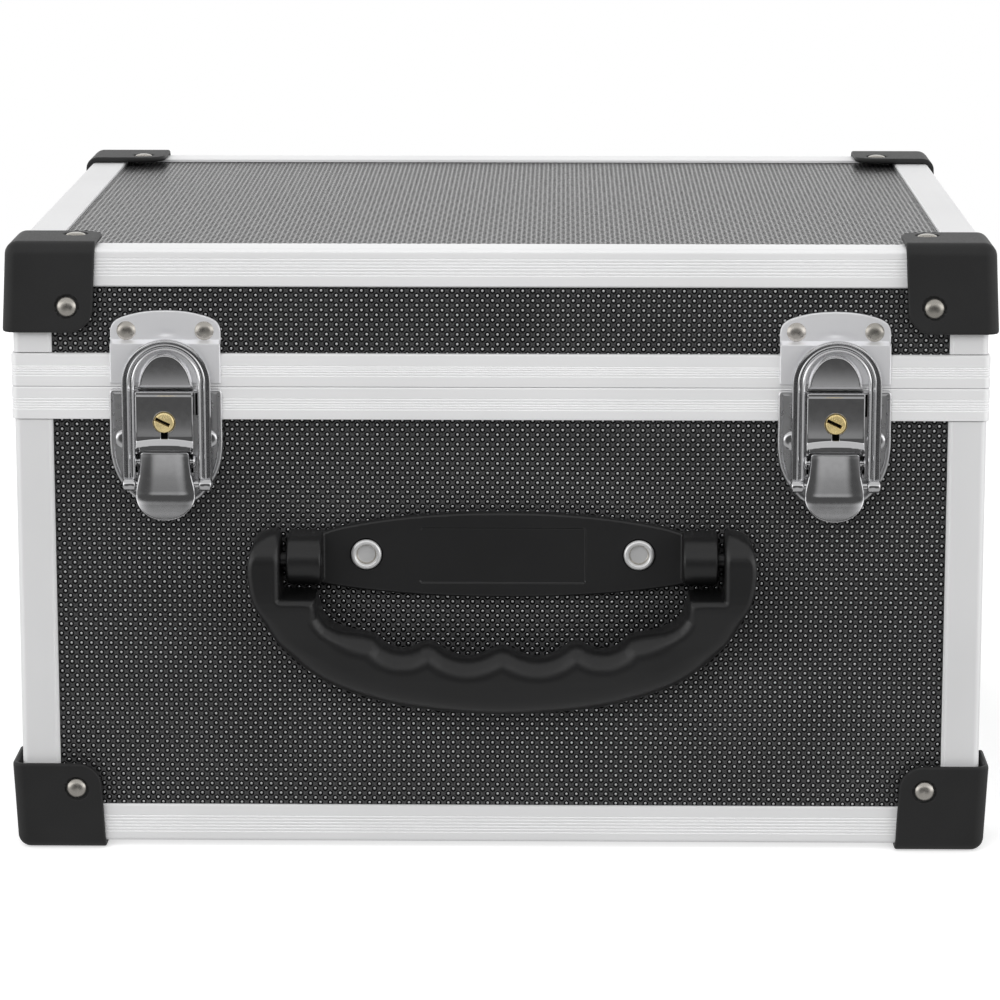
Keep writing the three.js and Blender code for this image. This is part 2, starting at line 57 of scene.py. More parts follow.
def volume(V, faces):
    total = 0.0
    for f in faces:
        f = np.atleast_2d(f)
        a = V[f[:, 0]]
        for k in range(1, f.shape[1] - 1):
            total += np.einsum("ij,ij->i", a, np.cross(V[f[:, k]], V[f[:, k + 1]])).sum()
    return total


def outward(V, faces):
    faces = [np.atleast_2d(np.array(f)) for f in faces]
    if volume(np.asarray(V, float), faces) < 0:
        faces = [f[:, ::-1] for f in faces]
    return V, faces


class Shape:
    """Vertices, faces and, where given, normals, a shade value and a material index."""

    def __init__(self, V, faces, normals=None, tip=None, index=0):
        self.V = np.array(V, float)
        self.faces = [np.atleast_2d(np.array(f)) for f in faces]
        self.normals = normals
        self.tip = tip
        self.index = index

    def moved(self, dx=0.0, dy=0.0, dz=0.0):
        return Shape(self.V + np.array([dx, dy, dz]), self.faces, self.normals, self.tip, self.index)

    def flipped(self, sx=1, sy=1, sz=1):
        s = np.array([sx, sy, sz], float)
        faces = self.faces if sx * sy * sz > 0 else [f[:, ::-1] for f in self.faces]
        return Shape(self.V * s, faces, None if self.normals is None else self.normals * s, self.tip, self.index)


def make_piece(name, shapes, body, materials, replaces=(), sharp=38.0, borders=False):
    shapes = shapes if isinstance(shapes, list) else [shapes]
    materials = materials if isinstance(materials, list) else [materials]
    V = np.concatenate([s.V for s in shapes])
    starts = np.cumsum([0] + [len(s.V) for s in shapes])
    counts, loops, index = [], [], []
    for s, first in zip(shapes, starts):
        each = s.index if isinstance(s.index, list) else [s.index] * len(s.faces)
        for f, i in zip(s.faces, each):
            counts.append(np.full(len(f), f.shape[1], np.int32))
            loops.append((f + first).ravel())
            index.append(np.full(len(f), i, np.int32))
    counts, loops, index = np.concatenate(counts), np.concatenate(loops).astype(np.int32), np.concatenate(index)
    me = bpy.data.meshes.new(name)
    me.vertices.add(len(V))
    me.vertices.foreach_set("co", to_row(V).astype(np.float32).ravel())
    me.loops.add(len(loops))
    me.loops.foreach_set("vertex_index", loops)
    me.polygons.add(len(counts))
    me.polygons.foreach_set("loop_start", np.concatenate([[0], np.cumsum(counts)[:-1]]).astype(np.int32))
    for m in materials:
        me.materials.append(m)
    me.polygons.foreach_set("material_index", index)
    me.update(calc_edges=True)
    me.shade_smooth()
    if all(s.normals is not None for s in shapes):
        N = np.concatenate([s.normals for s in shapes]).astype(np.float32)
        me.normals_split_custom_set_from_vertices(N.tolist())
    elif sharp is not None:
        me.set_sharp_from_angle(angle=math.radians(sharp))
    if borders:                                            # crisp where one material meets another, as where the facing's painted-shade pits and painted-glint nubs meet the web
        edge = np.empty(len(loops), np.int32)
        me.loops.foreach_get("edge_index", edge)
        per_loop = np.repeat(index, counts)
        low, high = np.full(len(me.edges), 99), np.full(len(me.edges), -1)
        np.minimum.at(low, edge, per_loop)
        np.maximum.at(high, edge, per_loop)
        a = me.attributes.get("sharp_edge") or me.attributes.new("sharp_edge", "BOOLEAN", "EDGE")
        was = np.zeros(len(me.edges), bool)
        a.data.foreach_get("value", was)
        a.data.foreach_set("value", was | (low != high))
    if any(s.tip is not None for s in shapes):
        a = me.attributes.new("tip", "FLOAT", "POINT")
        a.data.foreach_set("value", np.concatenate(
            [s.tip if s.tip is not None else np.zeros(len(s.V)) for s in shapes]).astype(np.float32))
    o = bpy.data.objects.new(name, me)
    bpy.context.scene.collection.objects.link(o)
    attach(o, body)
    if replaces:
        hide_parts(*replaces)
    return o


# ------------------------------------------------------- outlines and profiles
def arc(cx, cy, r, a0, a1, n):
    t = np.radians(np.linspace(a0, a1, n + 1))
    return [(cx + r * math.cos(a), cy + r * math.sin(a)) for a in t]


def spline(points, n=4):
    P = np.array(points, float)
    P = np.vstack([2 * P[0] - P[1], P, 2 * P[-1] - P[-2]])
    out = []
    for i in range(1, len(P) - 2):
        p0, p1, p2, p3 = P[i - 1], P[i], P[i + 1], P[i + 2]
        for k in range(n):
            t = k / n
            out.append(0.5 * (2 * p1 + (p2 - p0) * t + (2 * p0 - 5 * p1 + 4 * p2 - p3) * t * t
                              + (3 * p1 - p0 - 3 * p2 + p3) * t ** 3))
    out.append(P[-2])
    return [tuple(p) for p in out]


def mirrored(points):
    """A half outline from x = 0 to x = 0, closed with its mirror image."""
    back = [(-x, z) for x, z in reversed(points) if abs(x) > 1e-6]
    return list(points) + back


def round_rect(hx, hy, r, n=6):
    return (arc(hx - r, hy - r, r, 0, 90, n) + arc(-hx + r, hy - r, r, 90, 180, n)
            + arc(-hx + r, -hy + r, r, 180, 270, n) + arc(hx - r, -hy + r, r, 270, 360, n))


def loft(loops, close=False, cap=True):
    """Stacked closed loops of equal length, joined by quads, with flat ends."""
    L = np.array(loops, float)
    m, k = L.shape[:2]
    V = L.reshape(-1, 3)
    faces = []
    a = np.arange(k)
    b = (a + 1) % k
    for i in range(m if close else m - 1):
        j = (i + 1) % m
        faces.append(np.stack([i * k + a, i * k + b, j * k + b, j * k + a], 1))
    if cap and not close:
        faces.append(np.arange(k)[::-1][None])
        faces.append(((m - 1) * k + np.arange(k))[None])
    return Shape(*outward(V, faces))


def extrude(profile, axis, a, b, stations=2):
    """A closed profile run straight along an axis; profile in the two other axes."""
    P = np.array(profile, float)
    loops = []
    for t in np.linspace(a, b, stations):
        c = np.full(len(P), t)
        loops.append({"x": np.stack([c, P[:, 0], P[:, 1]], 1), "y": np.stack([P[:, 0], c, P[:, 1]], 1),
                      "z": np.stack([P[:, 0], P[:, 1], c], 1)}[axis])
    return loft(loops)


def lathe(profile, n=40):
    """(radius, height) turned about the height axis, in local coordinates."""
    V, rings = [], []
    a = 2 * math.pi * np.arange(n) / n
    for r, h in profile:
        if r < 1e-6:
            rings.append([len(V)])
            V.append((0.0, 0.0, h))
        else:
            rings.append(list(range(len(V), len(V) + n)))
            V.extend(zip(r * np.cos(a), r * np.sin(a), np.full(n, h)))
    faces = []
    for p, q in zip(rings, rings[1:]):
        for i in range(n):
            j = (i + 1) % n
            if len(p) == 1 and len(q) == 1:
                continue
            if len(p) == 1:
                faces.append([[p[0], q[i], q[j]]])
            elif len(q) == 1:
                faces.append([[p[i], q[0], p[j]]])
            else:
                faces.append([[p[i], q[i], q[j], p[j]]])
    tri = [f for f in faces if len(f[0]) == 3]
    quad = [f for f in faces if len(f[0]) == 4]
    groups = [np.concatenate([np.array(f) for f in g]) for g in (tri, quad) if g]
    if len(rings[-1]) > 1:
        groups.append(np.array(rings[-1])[None])
    if len(rings[0]) > 1:
        groups.append(np.array(rings[0])[::-1][None])
    return Shape(*outward(np.array(V, float), groups))


def aim(shape, origin, normal, turn=0.0):
    """A local shape whose +z is set along a normal at a point."""
    n = np.array(normal, float)
    n /= np.linalg.norm(n)
    t = np.cross([0, 0, 1.0] if abs(n[2]) < 0.9 else [0, 1.0, 0], n)
    t /= np.linalg.norm(t)
    b = np.cross(n, t)
    c, s = math.cos(turn), math.sin(turn)
    t, b = c * t + s * b, c * b - s * t
    R = np.stack([t, b, n])
    V = shape.V @ R + np.array(origin, float)
    N = None if shape.normals is None else shape.normals @ R
    return Shape(V, shape.faces, N, shape.tip, shape.index)


# ------------------------------------------------------------ distance fields
def sd_poly(px, py, pts):
    px, py = np.broadcast_arrays(np.asarray(px, float), np.asarray(py, float))
    d = np.full(px.shape, 1e18)
    inside = np.zeros(px.shape, bool)
    n = len(pts)
    for i in range(n):
        ax, ay = pts[i]
        bx, by = pts[(i + 1) % n]
        ex, ey = bx - ax, by - ay
        L = ex * ex + ey * ey
        if L < 1e-12:
            continue
        wx, wy = px - ax, py - ay
        t = np.clip((wx * ex + wy * ey) / L, 0, 1)
        d = np.minimum(d, (wx - ex * t) ** 2 + (wy - ey * t) ** 2)
        if ay != by:
            inside ^= ((ay > py) != (by > py)) & (px < ex * (py - ay) / ey + ax)
    return np.where(inside, -1.0, 1.0) * np.sqrt(d)


def rmax(a, b, r):
    """Both inside, with the edge between them rounded."""
    return np.minimum(np.maximum(a, b), -r) + np.sqrt(np.maximum(a + r, 0) ** 2 + np.maximum(b + r, 0) ** 2)


def rmin(a, b, r):
    """Either inside, with the corner between them filled."""
    return np.maximum(r, np.minimum(a, b)) - np.sqrt(np.maximum(r - a, 0) ** 2 + np.maximum(r - b, 0) ** 2)


def smooth01(t):
    t = np.clip(t, 0, 1)
    return t * t * (3 - 2 * t)


def nets(F, lo, hi, h, steps=3):
    """The surface F = 0 as quads, with the vertices and normals taken from F itself."""
    lo, hi = np.array(lo, float), np.array(hi, float)
    n = np.ceil((hi - lo) / h).astype(int) + 1
    ax = [lo[a] + h * np.arange(n[a]) for a in range(3)]
    D = np.array(np.broadcast_to(F(ax[0][:, None, None], ax[1][None, :, None], ax[2][None, None, :]), n), np.float32)
    D[D == 0] = 1e-6
    m = n - 1
    size = int(np.prod(m))
    acc, cnt, quads = np.zeros((3, size)), np.zeros(size), []
    for a in range(3):
        o1, o2 = (a + 1) % 3, (a + 2) % 3
        s0, s1 = [slice(None)] * 3, [slice(None)] * 3
        s0[a], s1[a] = slice(0, -1), slice(1, None)
        A, B = D[tuple(s0)], D[tuple(s1)]
        hit = (A < 0) != (B < 0)
        I = np.argwhere(hit)
        va, vb = A[hit], B[hit]
        P = I.astype(float)
        P[:, a] += va / (va - vb)
        ids, good = [], np.ones(len(I), bool)
        for d1, d2 in ((-1, -1), (0, -1), (0, 0), (-1, 0)):
            C = I.copy()
            C[:, o1] += d1
            C[:, o2] += d2
            ok = ((C >= 0) & (C < m)).all(1)
            f = np.ravel_multi_index(np.clip(C, 0, m - 1).T, m)
            for k in range(3):
                acc[k] += np.bincount(f[ok], P[ok, k], size)
            cnt += np.bincount(f[ok], minlength=size)
            ids.append(f)
            good &= ok
        q = np.stack(ids, 1)
        flip = va >= 0
        q[flip] = q[flip][:, ::-1]
        quads.append(q[good])
    live = np.nonzero(cnt)[0]
    where = np.full(size, -1)
    where[live] = np.arange(len(live))
    V = lo + h * (acc[:, live] / cnt[live]).T
    Q = where[np.concatenate(quads)]

    def grad(V, e):
        x, y, z = V.T
        return np.stack([F(x + e, y, z) - F(x - e, y, z), F(x, y + e, z) - F(x, y - e, z),
                         F(x, y, z + e) - F(x, y, z - e)], 1) / (2 * e)

    for _ in range(steps):
        g = grad(V, 0.03)
        f = F(*V.T)
        g2 = np.maximum((g ** 2).sum(1), 0.2)
        move = -f / g2
        cap = 0.5 * h / np.sqrt(g2)
        V = V + g * np.clip(move, -cap, cap)[:, None]
    g = grad(V, 0.06)
    N = g / np.maximum(np.linalg.norm(g, axis=1), 1e-9)[:, None]
    return Shape(V, [Q], N)


# ------------------------------------------------------------------ materials
def material(name):
    m = bpy.data.materials.new(name)
    m.use_nodes = True
    nt = m.node_tree
    nt.nodes.clear()
    out = nt.nodes.new("ShaderNodeOutputMaterial")
    bs = nt.nodes.new("ShaderNodeBsdfPrincipled")
    nt.links.new(bs.outputs[0], out.inputs[0])
    return m, nt, bs


def noise(nt, scale, detail=3.0, stretch=(1, 1, 1), rough=0.5):
    tc = nt.nodes.new("ShaderNodeTexCoord")
    mp = nt.nodes.new("ShaderNodeMapping")
    mp.inputs["Scale"].default_value = stretch
    no = nt.nodes.new("ShaderNodeTexNoise")
    no.inputs["Scale"].default_value = scale
    no.inputs["Detail"].default_value = detail
    no.inputs["Roughness"].default_value = rough
    nt.links.new(tc.outputs["Object"], mp.inputs["Vector"])
    nt.links.new(mp.outputs[0], no.inputs["Vector"])
    return no.outputs[0]


def ranged(nt, value, a, b, lo=0.3, hi=0.7):
    n = nt.nodes.new("ShaderNodeMapRange")
    n.inputs["From Min"].default_value = lo
    n.inputs["From Max"].default_value = hi
    n.inputs["To Min"].default_value = a
    n.inputs["To Max"].default_value = b
    nt.links.new(value, n.inputs["Value"])
    return n.outputs[0]


def ramp(nt, value, stops):
    n = nt.nodes.new("ShaderNodeValToRGB")
    e = n.color_ramp.elements
    while len(e) < len(stops):
        e.new(0.5)
    for i, (p, c) in enumerate(stops):
        e[i].position = p
        e[i].color = (*(c if isinstance(c, tuple) else (c, c, c)), 1)
    nt.links.new(value, n.inputs[0])
    return n.outputs[0]


def bump(nt, bs, height, strength, distance):
    b = nt.nodes.new("ShaderNodeBump")
    b.inputs["Strength"].default_value = strength
    b.inputs["Distance"].default_value = distance
    nt.links.new(height, b.inputs["Height"])
    nt.links.new(b.outputs[0], bs.inputs["Normal"])


def metal(name, lo, hi, rough, spread, streak=None, grain=0.02, fine=2600.0, metallic=1.0):
    """A metal whose colour, gloss and surface vary a little, in lines if streaked."""
    m, nt, bs = material(name)
    stretch = streak or (1, 1, 1)
    big = noise(nt, 22.0, 3.0)
    nt.links.new(ramp(nt, big, [(0.3, lo), (0.7, hi)]), bs.inputs["Base Color"])
    bs.inputs["Metallic"].default_value = metallic
    line = noise(nt, fine if streak is None else 1.0, 2.0, stretch)
    nt.links.new(ranged(nt, line, rough - spread, rough + spread), bs.inputs["Roughness"])
    bump(nt, bs, line, grain, 0.0002)
    return m


# the same aluminium throughout: the base colours differ only as painted light and shade, lighter on the long rails and
# the rim, darker on the posts and the short side rails; the streaks run along each part
ALU_X = metal("aluminium_long", (0.93, 0.93, 0.935), (0.97, 0.97, 0.975), 0.52, 0.015, (10, 1500, 1500), 0.012, metallic=0.45)
ALU_Y = metal("aluminium_short", (0.83, 0.83, 0.835), (0.87, 0.87, 0.875), 0.52, 0.015, (1500, 10, 1500), 0.012, metallic=0.45)
ALU_Z = metal("aluminium_post", (0.85, 0.85, 0.855), (0.89, 0.89, 0.895), 0.52, 0.015, (1500, 1500, 10), 0.012, metallic=0.45)
ALU_RIM = metal("aluminium_rim", (0.94, 0.94, 0.945), (0.98, 0.98, 0.985), 0.52, 0.015, (30, 30, 1500), 0.012, metallic=0.45)
CHROME = metal("chrome_plate", (0.64, 0.64, 0.65), (0.70, 0.70, 0.71), 0.12, 0.02, None, 0.004, 600.0)
CHROME_SOFT = metal("chrome_worn", (0.70, 0.70, 0.71), (0.77, 0.77, 0.78), 0.29, 0.03, None, 0.004, 500.0)
SATIN = metal("satin_nickel", (0.90, 0.90, 0.92), (0.95, 0.95, 0.97), 0.40, 0.03, (700, 700, 1800), 0.02, metallic=0.6)
RIVET = metal("rivet_nickel", (0.43, 0.41, 0.37), (0.59, 0.56, 0.52), 0.29, 0.05, None, 0.02, 900.0, metallic=0.95)
EYELET = metal("rivet_bright", (0.80, 0.80, 0.80), (0.87, 0.87, 0.87), 0.34, 0.04, None, 0.02, 900.0, metallic=0.7)
BRASS = metal("turned_brass", (0.88, 0.68, 0.30), (0.96, 0.80, 0.44), 0.26, 0.05, None, 0.02, 1500.0, metallic=0.6)


def plastic(name, base, rough, grain, cell, spec=0.5):
    """Moulded plastic with a fine spark-eroded grain and slight scuffing."""
    m, nt, bs = material(name)
    big = noise(nt, 38.0, 4.0)
    lo = tuple(c * 0.85 for c in base)
    hi = tuple(c * 1.2 for c in base)
    nt.links.new(ramp(nt, big, [(0.3, lo), (0.72, hi)]), bs.inputs["Base Color"])
    bs.inputs["Specular IOR Level"].default_value = spec
    fine = noise(nt, cell, 2.0)
    nt.links.new(ranged(nt, fine, rough - 0.05, rough + 0.06), bs.inputs["Roughness"])
    bump(nt, bs, fine, grain, 0.0002)
    return m


CAP = plastic("cap_plastic", (0.0140, 0.0140, 0.0142), 0.56, 0.08, 2200.0, 0.4)
GRIP = plastic("handle_plastic", (0.0092, 0.0092, 0.0095), 0.34, 0.06, 1900.0, 0.50)


FACING_WEB = plastic("facing_web", (0.046, 0.046, 0.047), 0.27, 0.06, 1600.0, 0.8)
# the pits' near-black, barely glossy colour is painted shade in the recesses
FACING_PIT_SHADE = plastic("facing_pit_painted_shade", (0.0022, 0.0022, 0.0024), 0.55, 0.05, 1600.0, 0.10)
# painted highlight: the nubs are coloured bright silver metal so each shows a glint; its brightness still follows the
# light it reflects
FACING_NUB_GLINT = metal("facing_nub_painted_glint", (0.70, 0.70, 0.71), (0.82, 0.82, 0.83), 0.34, 0.05, None, 0.02, 900.0)


def cloth(name, base, scale=900.0):
    """Foam with a short knitted face."""
    m, nt, bs = material(name)
    tc = nt.nodes.new("ShaderNodeTexCoord")
    wv = nt.nodes.new("ShaderNodeTexVoronoi")
    wv.inputs["Scale"].default_value = scale
    nt.links.new(tc.outputs["Object"], wv.inputs["Vector"])
    big = noise(nt, 30.0, 5.0)
    nt.links.new(ramp(nt, big, [(0.3, tuple(c * 0.8 for c in base)), (0.7, tuple(c * 1.25 for c in base))]), bs.inputs["Base Color"])
    bs.inputs["Roughness"].default_value = 0.92
    bs.inputs["Sheen Weight"].default_value = 0.25
    bs.inputs["Sheen Roughness"].default_value = 0.5
    bump(nt, bs, wv.outputs["Distance"], 0.5, 0.0004)
    return m


LINING = cloth("lining_cloth", (0.040, 0.042, 0.046))
# near-black plastic for sheets that stand in for shade: painted shade in the latch gaps, the keyway and the lock slot
DARK = plastic("painted_shade_black", (0.004, 0.004, 0.004), 0.8, 0.05, 1500.0, 0.1)


# -------------------------------------------------------------- facing boards
FRONT_RELIEF = ((1.05, 1.08), (0.40, 0.43), -0.32, -0.08)
TOP_RELIEF = ((0.80, 0.96), (0.36, 0.40), -0.44, -0.22)


def facing_boards(rect, shown, depth, halves, relief):
    """Boards with an embossed facing, in (u, v, height): a raised web round staggered
    pits, the pits coloured near black as painted shade, each with a small nub coloured bright silver metal as a
    painted glint. Each board is one closed solid."""
    PU, PV, WEB = 3.2, 1.56, -0.02
    R0, R1, LOW, NUB = relief
    ulo, uhi, vlo, vhi = shown
    ni, nj = int((uhi - ulo) // PU), int((vhi - vlo) // PV)
    u0 = (ulo + uhi) / 2 - PU * (ni - 0.5) / 2
    v0 = (vlo + vhi) / 2 - PV * (nj - 1) / 2
    J, I = np.meshgrid(np.arange(nj), np.arange(ni), indexing="ij")
    cu, cv = u0 + PU * I + 1.6 * (J % 2), v0 + PV * J
    ang = np.radians(30 + 60 * np.arange(6))
    count = ni * nj

    def rings(r, h):
        return np.stack([cu[..., None] + r[0] * np.cos(ang), cv[..., None] + r[1] * np.sin(ang), np.full(cu.shape + (6,), h)], -1).reshape(-1, 3)

    V = np.concatenate([rings(R0, WEB), rings(R1, LOW), np.stack([cu, cv, np.full(cu.shape, NUB)], -1).reshape(-1, 3)])
    # the ring points, at 30, 90, ... 330 degrees, are numbers 0 to 5
    B = lambda i, j, k: (j * ni + i) * 6 + k

    def sheet(first, last):
        dot = np.arange(first * ni, last * ni)
        pit = [np.stack([dot * 6 + k, dot * 6 + (k + 1) % 6, (count + dot) * 6 + (k + 1) % 6, (count + dot) * 6 + k], 1) for k in range(6)]
        nub = [np.stack([(count + dot) * 6 + k, (count + dot) * 6 + (k + 1) % 6, count * 12 + dot], 1) for k in range(6)]
        web = []
        for j in range(first, min(last, nj - 1)):
            par = j % 2
            i = np.arange(ni)
            right, left = i[i + par < ni], i[i + par - 1 >= 0]
            r, l = right + par, left + par - 1
            web.append(np.stack([B(right, j, 0), B(r, j + 1, 4), B(r, j + 1, 3), B(right, j, 1)], 1))
            web.append(np.stack([B(left, j, 1), B(l, j + 1, 5), B(l, j + 1, 4), B(left, j, 2)], 1))
            if j > 0:
                a = np.arange(ni - 1)
                up = a + par
                web.append(np.stack([B(a, j, 5), B(up, j - 1, 1), B(a + 1, j, 3), B(a + 1, j, 2), B(up, j + 1, 4), B(a, j, 0)], 1))
        faces = pit + nub + web
        edges = np.concatenate([np.stack([f, np.roll(f, -1, 1)], -1).reshape(-1, 2) for f in faces])
        n = len(V)
        free = edges[~np.isin(edges[:, 0] * n + edges[:, 1], edges[:, 1] * n + edges[:, 0])]
        follow = dict(free.tolist())
        start = int(free[0, 0])
        loop = [start]
        while follow[loop[-1]] != start:
            loop.append(follow[loop[-1]])
        assert len(loop) == len(free)
        # material 0 is the web, 1 the pits' painted shade, 2 the nubs' painted glint
        return faces, [1] * 6 + [2] * 6 + [0] * len(web), loop

    mid = nj // 2
    parts = [sheet(0, mid), sheet(mid, nj)] if halves else [sheet(0, nj)]
    seam_v = v0 + PV * (mid - 0.5)
    shared = sorted(set(parts[0][2]) & set(parts[-1][2]), key=lambda k: V[k, 0]) if halves else []
    out = []
    for n, (faces, index, loop) in enumerate(parts):
        a0, a1, b0, b1 = rect
        if halves and n == 0:
            b1 = seam_v
        elif halves:
            b0 = seam_v
        seam = {0: 2, 1: 0}[n] if halves else None          # sides: 0 low v, 1 high u, 2 high v, 3 low u
        spots = [(a0, b0), (a1, b0), (a1, b1), (a0, b1)]
        ends = []
        for q, (cu_, cv_) in enumerate(spots):
            if halves and (q in (2, 3) if n == 0 else q in (0, 1)):
                k = shared[-1] if q in (1, 2) else shared[0]
            else:
                k = min(loop, key=lambda m: abs(V[m, 0] - cu_) + abs(V[m, 1] - cv_))
            ends.append(loop.index(k))
        loop = loop[ends[0]:] + loop[:ends[0]]
        at = [(e - ends[0]) % len(loop) for e in ends] + [len(loop)]
        assert at == sorted(at)
        extra, seen, tracks = [], {}, [[], [], []]

        def point(level, u, v, h):
            key = (level, round(u, 3), round(v, 3))
            if key not in seen:
                seen[key] = len(V) + len(extra)
                extra.append((u, v, h))
            return seen[key]

        c = 0.35
        for q in range(4):
            for m in range(at[q], at[q + 1]):
                k = loop[m]
                u, v = V[k, 0], V[k, 1]
                if m == at[q]:
                    u, v = spots[q]
                elif q != seam:
                    u, v = [(u, b0), (a1, v), (u, b1), (a0, v)][q]
                iu = min(max(u, a0 + c), a1 - c)
                iv = min(max(v, b0 + (0 if seam == 0 else c)), b1 - (0 if seam == 2 else c)) if not (q == seam and m != at[q]) else v
                tracks[0].append(k if (q == seam and m != at[q]) else point(0, iu, iv, WEB))
                tracks[1].append(point(1, u, v, WEB - c))
                tracks[2].append(point(2, u, v, -depth))
        polys = {}
        for lo, hi in ((loop, tracks[0]), (tracks[0], tracks[1]), (tracks[1], tracks[2])):
            for m in range(len(loop)):
                o = (m + 1) % len(loop)
                face = [lo[o], lo[m], hi[m], hi[o]]
                face = [f for i, f in enumerate(face) if f != face[i - 1]]
                if len(face) >= 3:
                    polys.setdefault(len(face), []).append(face)
        back = [f for i, f in enumerate(tracks[2]) if f != tracks[2][i - 1]][::-1]
        groups = faces + [np.array(g) for g in polys.values()] + [np.array([back])]
        index = index + [0] * (len(polys) + 1)
        W = np.concatenate([V, np.array(extra)])
        used = np.unique(np.concatenate([g.ravel() for g in groups]))
        where = np.full(len(W), -1)
        where[used] = np.arange(len(used))
        out.append(Shape(W[used], [where[g] for g in groups], index=index))
    return out


def board(name, body, node, u_axis, v_axis, n_axis, face, back, rect, shown, halves=False):
    """Boards set in place. u, v and n give axis number and sign."""
    (iu, su), (iv, sv), (inn, sn) = u_axis, v_axis, n_axis
    hand = np.linalg.det(np.array([[su * (iu == k) for k in range(3)], [sv * (iv == k) for k in range(3)],
                                   [sn * (inn == k) for k in range(3)]], float))
    shapes = facing_boards(rect, shown, abs(face - back), halves, TOP_RELIEF if halves else FRONT_RELIEF)
    for part, tag in zip(shapes, ("_near", "_far") if halves else ("",)):
        W = np.zeros_like(part.V)
        W[:, iu] = part.V[:, 0] * su
        W[:, iv] = part.V[:, 1] * sv
        W[:, inn] = face + sn * part.V[:, 2]
        faces = part.faces if hand > 0 else [f[:, ::-1] for f in part.faces]
        make_piece(name + tag, Shape(W, faces, index=part.index), body, [FACING_WEB, FACING_PIT_SHADE, FACING_NUB_GLINT], [node], sharp=60, borders=True)


WX, WY = 149.4, 121.9
PX, PY = 153.7, 126.2
X, Y, Z = 0, 1, 2
SHOW_X, SHOW_Y = 143.2, 116.0
for pre, body, z0, z1, s0, s1 in (("body", "case_body", 3.5, 149.0, 13.9, 142.5), ("lid", "lid", 159.0, 195.4, 162.0, 185.5)):
    for side, sgn in (("front", -1), ("back", 1)):
        board(f"{pre}_{side}_facing", body, f"{pre}_{side}_panel", (X, 1), (Z, 1), (Y, sgn), sgn * PY, sgn * (PY - 4),
              (-WX, WX, z0, z1), (-SHOW_X, SHOW_X, s0, s1))
    for side, sgn in (("left", -1), ("right", 1)):
        board(f"{pre}_{side}_facing", body, f"{pre}_{side}_panel", (Y, 1), (Z, 1), (X, sgn), sgn * PX, sgn * (PX - 4),
              (-WY, WY, z0, z1), (-SHOW_Y, SHOW_Y, s0, s1))
# the floor and the top of the case are made in two halves that meet in a row of pits
for node, body, sgn, face, back in (("body_bottom_panel", "case_body", -1, 3.5, 7.5), ("lid_top_panel", "lid", 1, 195.4, 191.4)):
    board(node.replace("panel", "facing"), body, node, (X, 1), (Y, 1), (Z, sgn), face, back, (-WX, WX, -WY, WY), (-SHOW_X, SHOW_X, -SHOW_Y, SHOW_Y), True)


# ------------------------------------------------------- aluminium extrusions
def groove(points, s, depth=0.25, half=0.26, at=0.0):
    """Adds a rounded groove at s to a run of (offset from the face, s) points going up."""
    for ds, k in ((-half, 0.0), (-half * 0.55, 0.75), (0.0, 1.0), (half * 0.55, 0.75), (half, 0.0)):
        points.append((at - depth * k, s + ds))


def angle_profile(r, grooves_v, grooves_u, deep, half, sharp_inside):
    """Angle with its outer corner at the origin and its legs along -u and -v."""
    L, T, e = 12.3, 1.2, 0.42
    P = [(-L + e, 0.0), (-L, -e), (-L, -T)]
    P += [(-T, -T)] if sharp_inside else arc(-r, -r, r - T, 90, 0, 5)
    P += [(-T, -L), (-e, -L), (0.0, -L + e)]
    run = []
    for s in sorted(grooves_v):
        groove(run, s, deep, half)
    P += [(o, s) for o, s in run]
    P += arc(-r, -r, r, 0, 90, 9)
    run = []
    for s in sorted(grooves_u, reverse=True):
        for ds, k in ((half, 0.0), (half * 0.55, 0.75), (0.0, 1.0), (-half * 0.55, 0.75), (-half, 0.0)):
            run.append((s + ds, -deep * k))
    P += run
    return P


POST_LINES = [-11.1]
post_profile = [(HX + u, HY + v) for u, v in angle_profile(2.2, POST_LINES, POST_LINES, 0.10, 0.20, False)]
edge = angle_profile(1.5, [-8.55, -7.55, -6.45, -5.4, -4.4, -3.35], [], 0.27, 0.30, True)
for tag, sx, sy in (("front_left", -1, -1), ("front_right", 1, -1), ("back_left", -1, 1), ("back_right", 1, 1)):
    for pre, body, z0, z1 in (("body", "case_body", 5.2, 141.6), ("lid", "lid", 163.3, 193.7)):
        s = extrude(post_profile, "z", z0, z1).flipped(sx, sy, 1)
        make_piece(f"{pre}_post_{tag}_metal", s, body, ALU_Z, [f"{pre}_post_{tag}"], sharp=14)
for level, body in (("top", "lid"), ("bottom", "case_body")):
    for side in ("front", "back", "left", "right"):
        if side in ("front", "back"):
            s = extrude([(HY + v, Z_TOP + u) for u, v in [(b, a) for a, b in edge]], "x", -142.4, 142.4)
            s = s.flipped(1, -1 if side == "front" else 1, 1)
            mt = ALU_X
        else:
            s = extrude([(HX + v, Z_TOP + u) for u, v in [(b, a) for a, b in edge]], "y", -114.9, 114.9)
            s = s.flipped(-1 if side == "left" else 1, 1, 1)
            mt = ALU_Y
        if level == "bottom":
            s = s.flipped(1, 1, -1).moved(dz=Z_TOP + Z_BOTTOM)
        make_piece(f"{level}_edge_{side}_metal", s, body, mt, [f"{level}_edge_{side}"], sharp=14)


def rim_loops(profile):
    """Each (outset, z) of the profile run round the plan outline."""
    loops = []
    for n, z in profile:
        r = max(1.6 + n, 0.6)
        loops.append([(x, y, z) for x, y in round_rect(HX + n, HY + n, r, 8)])
    return loops


def rim_face(lo, hi, lines, e=0.40):
    run = [(0.68, lo), (0.8, lo + 0.12)]
    for s in sorted(lines):
        groove(run, s, 0.27, 0.27, 0.8)
    return run + [(0.8, hi - e), (0.8 - e, hi)]


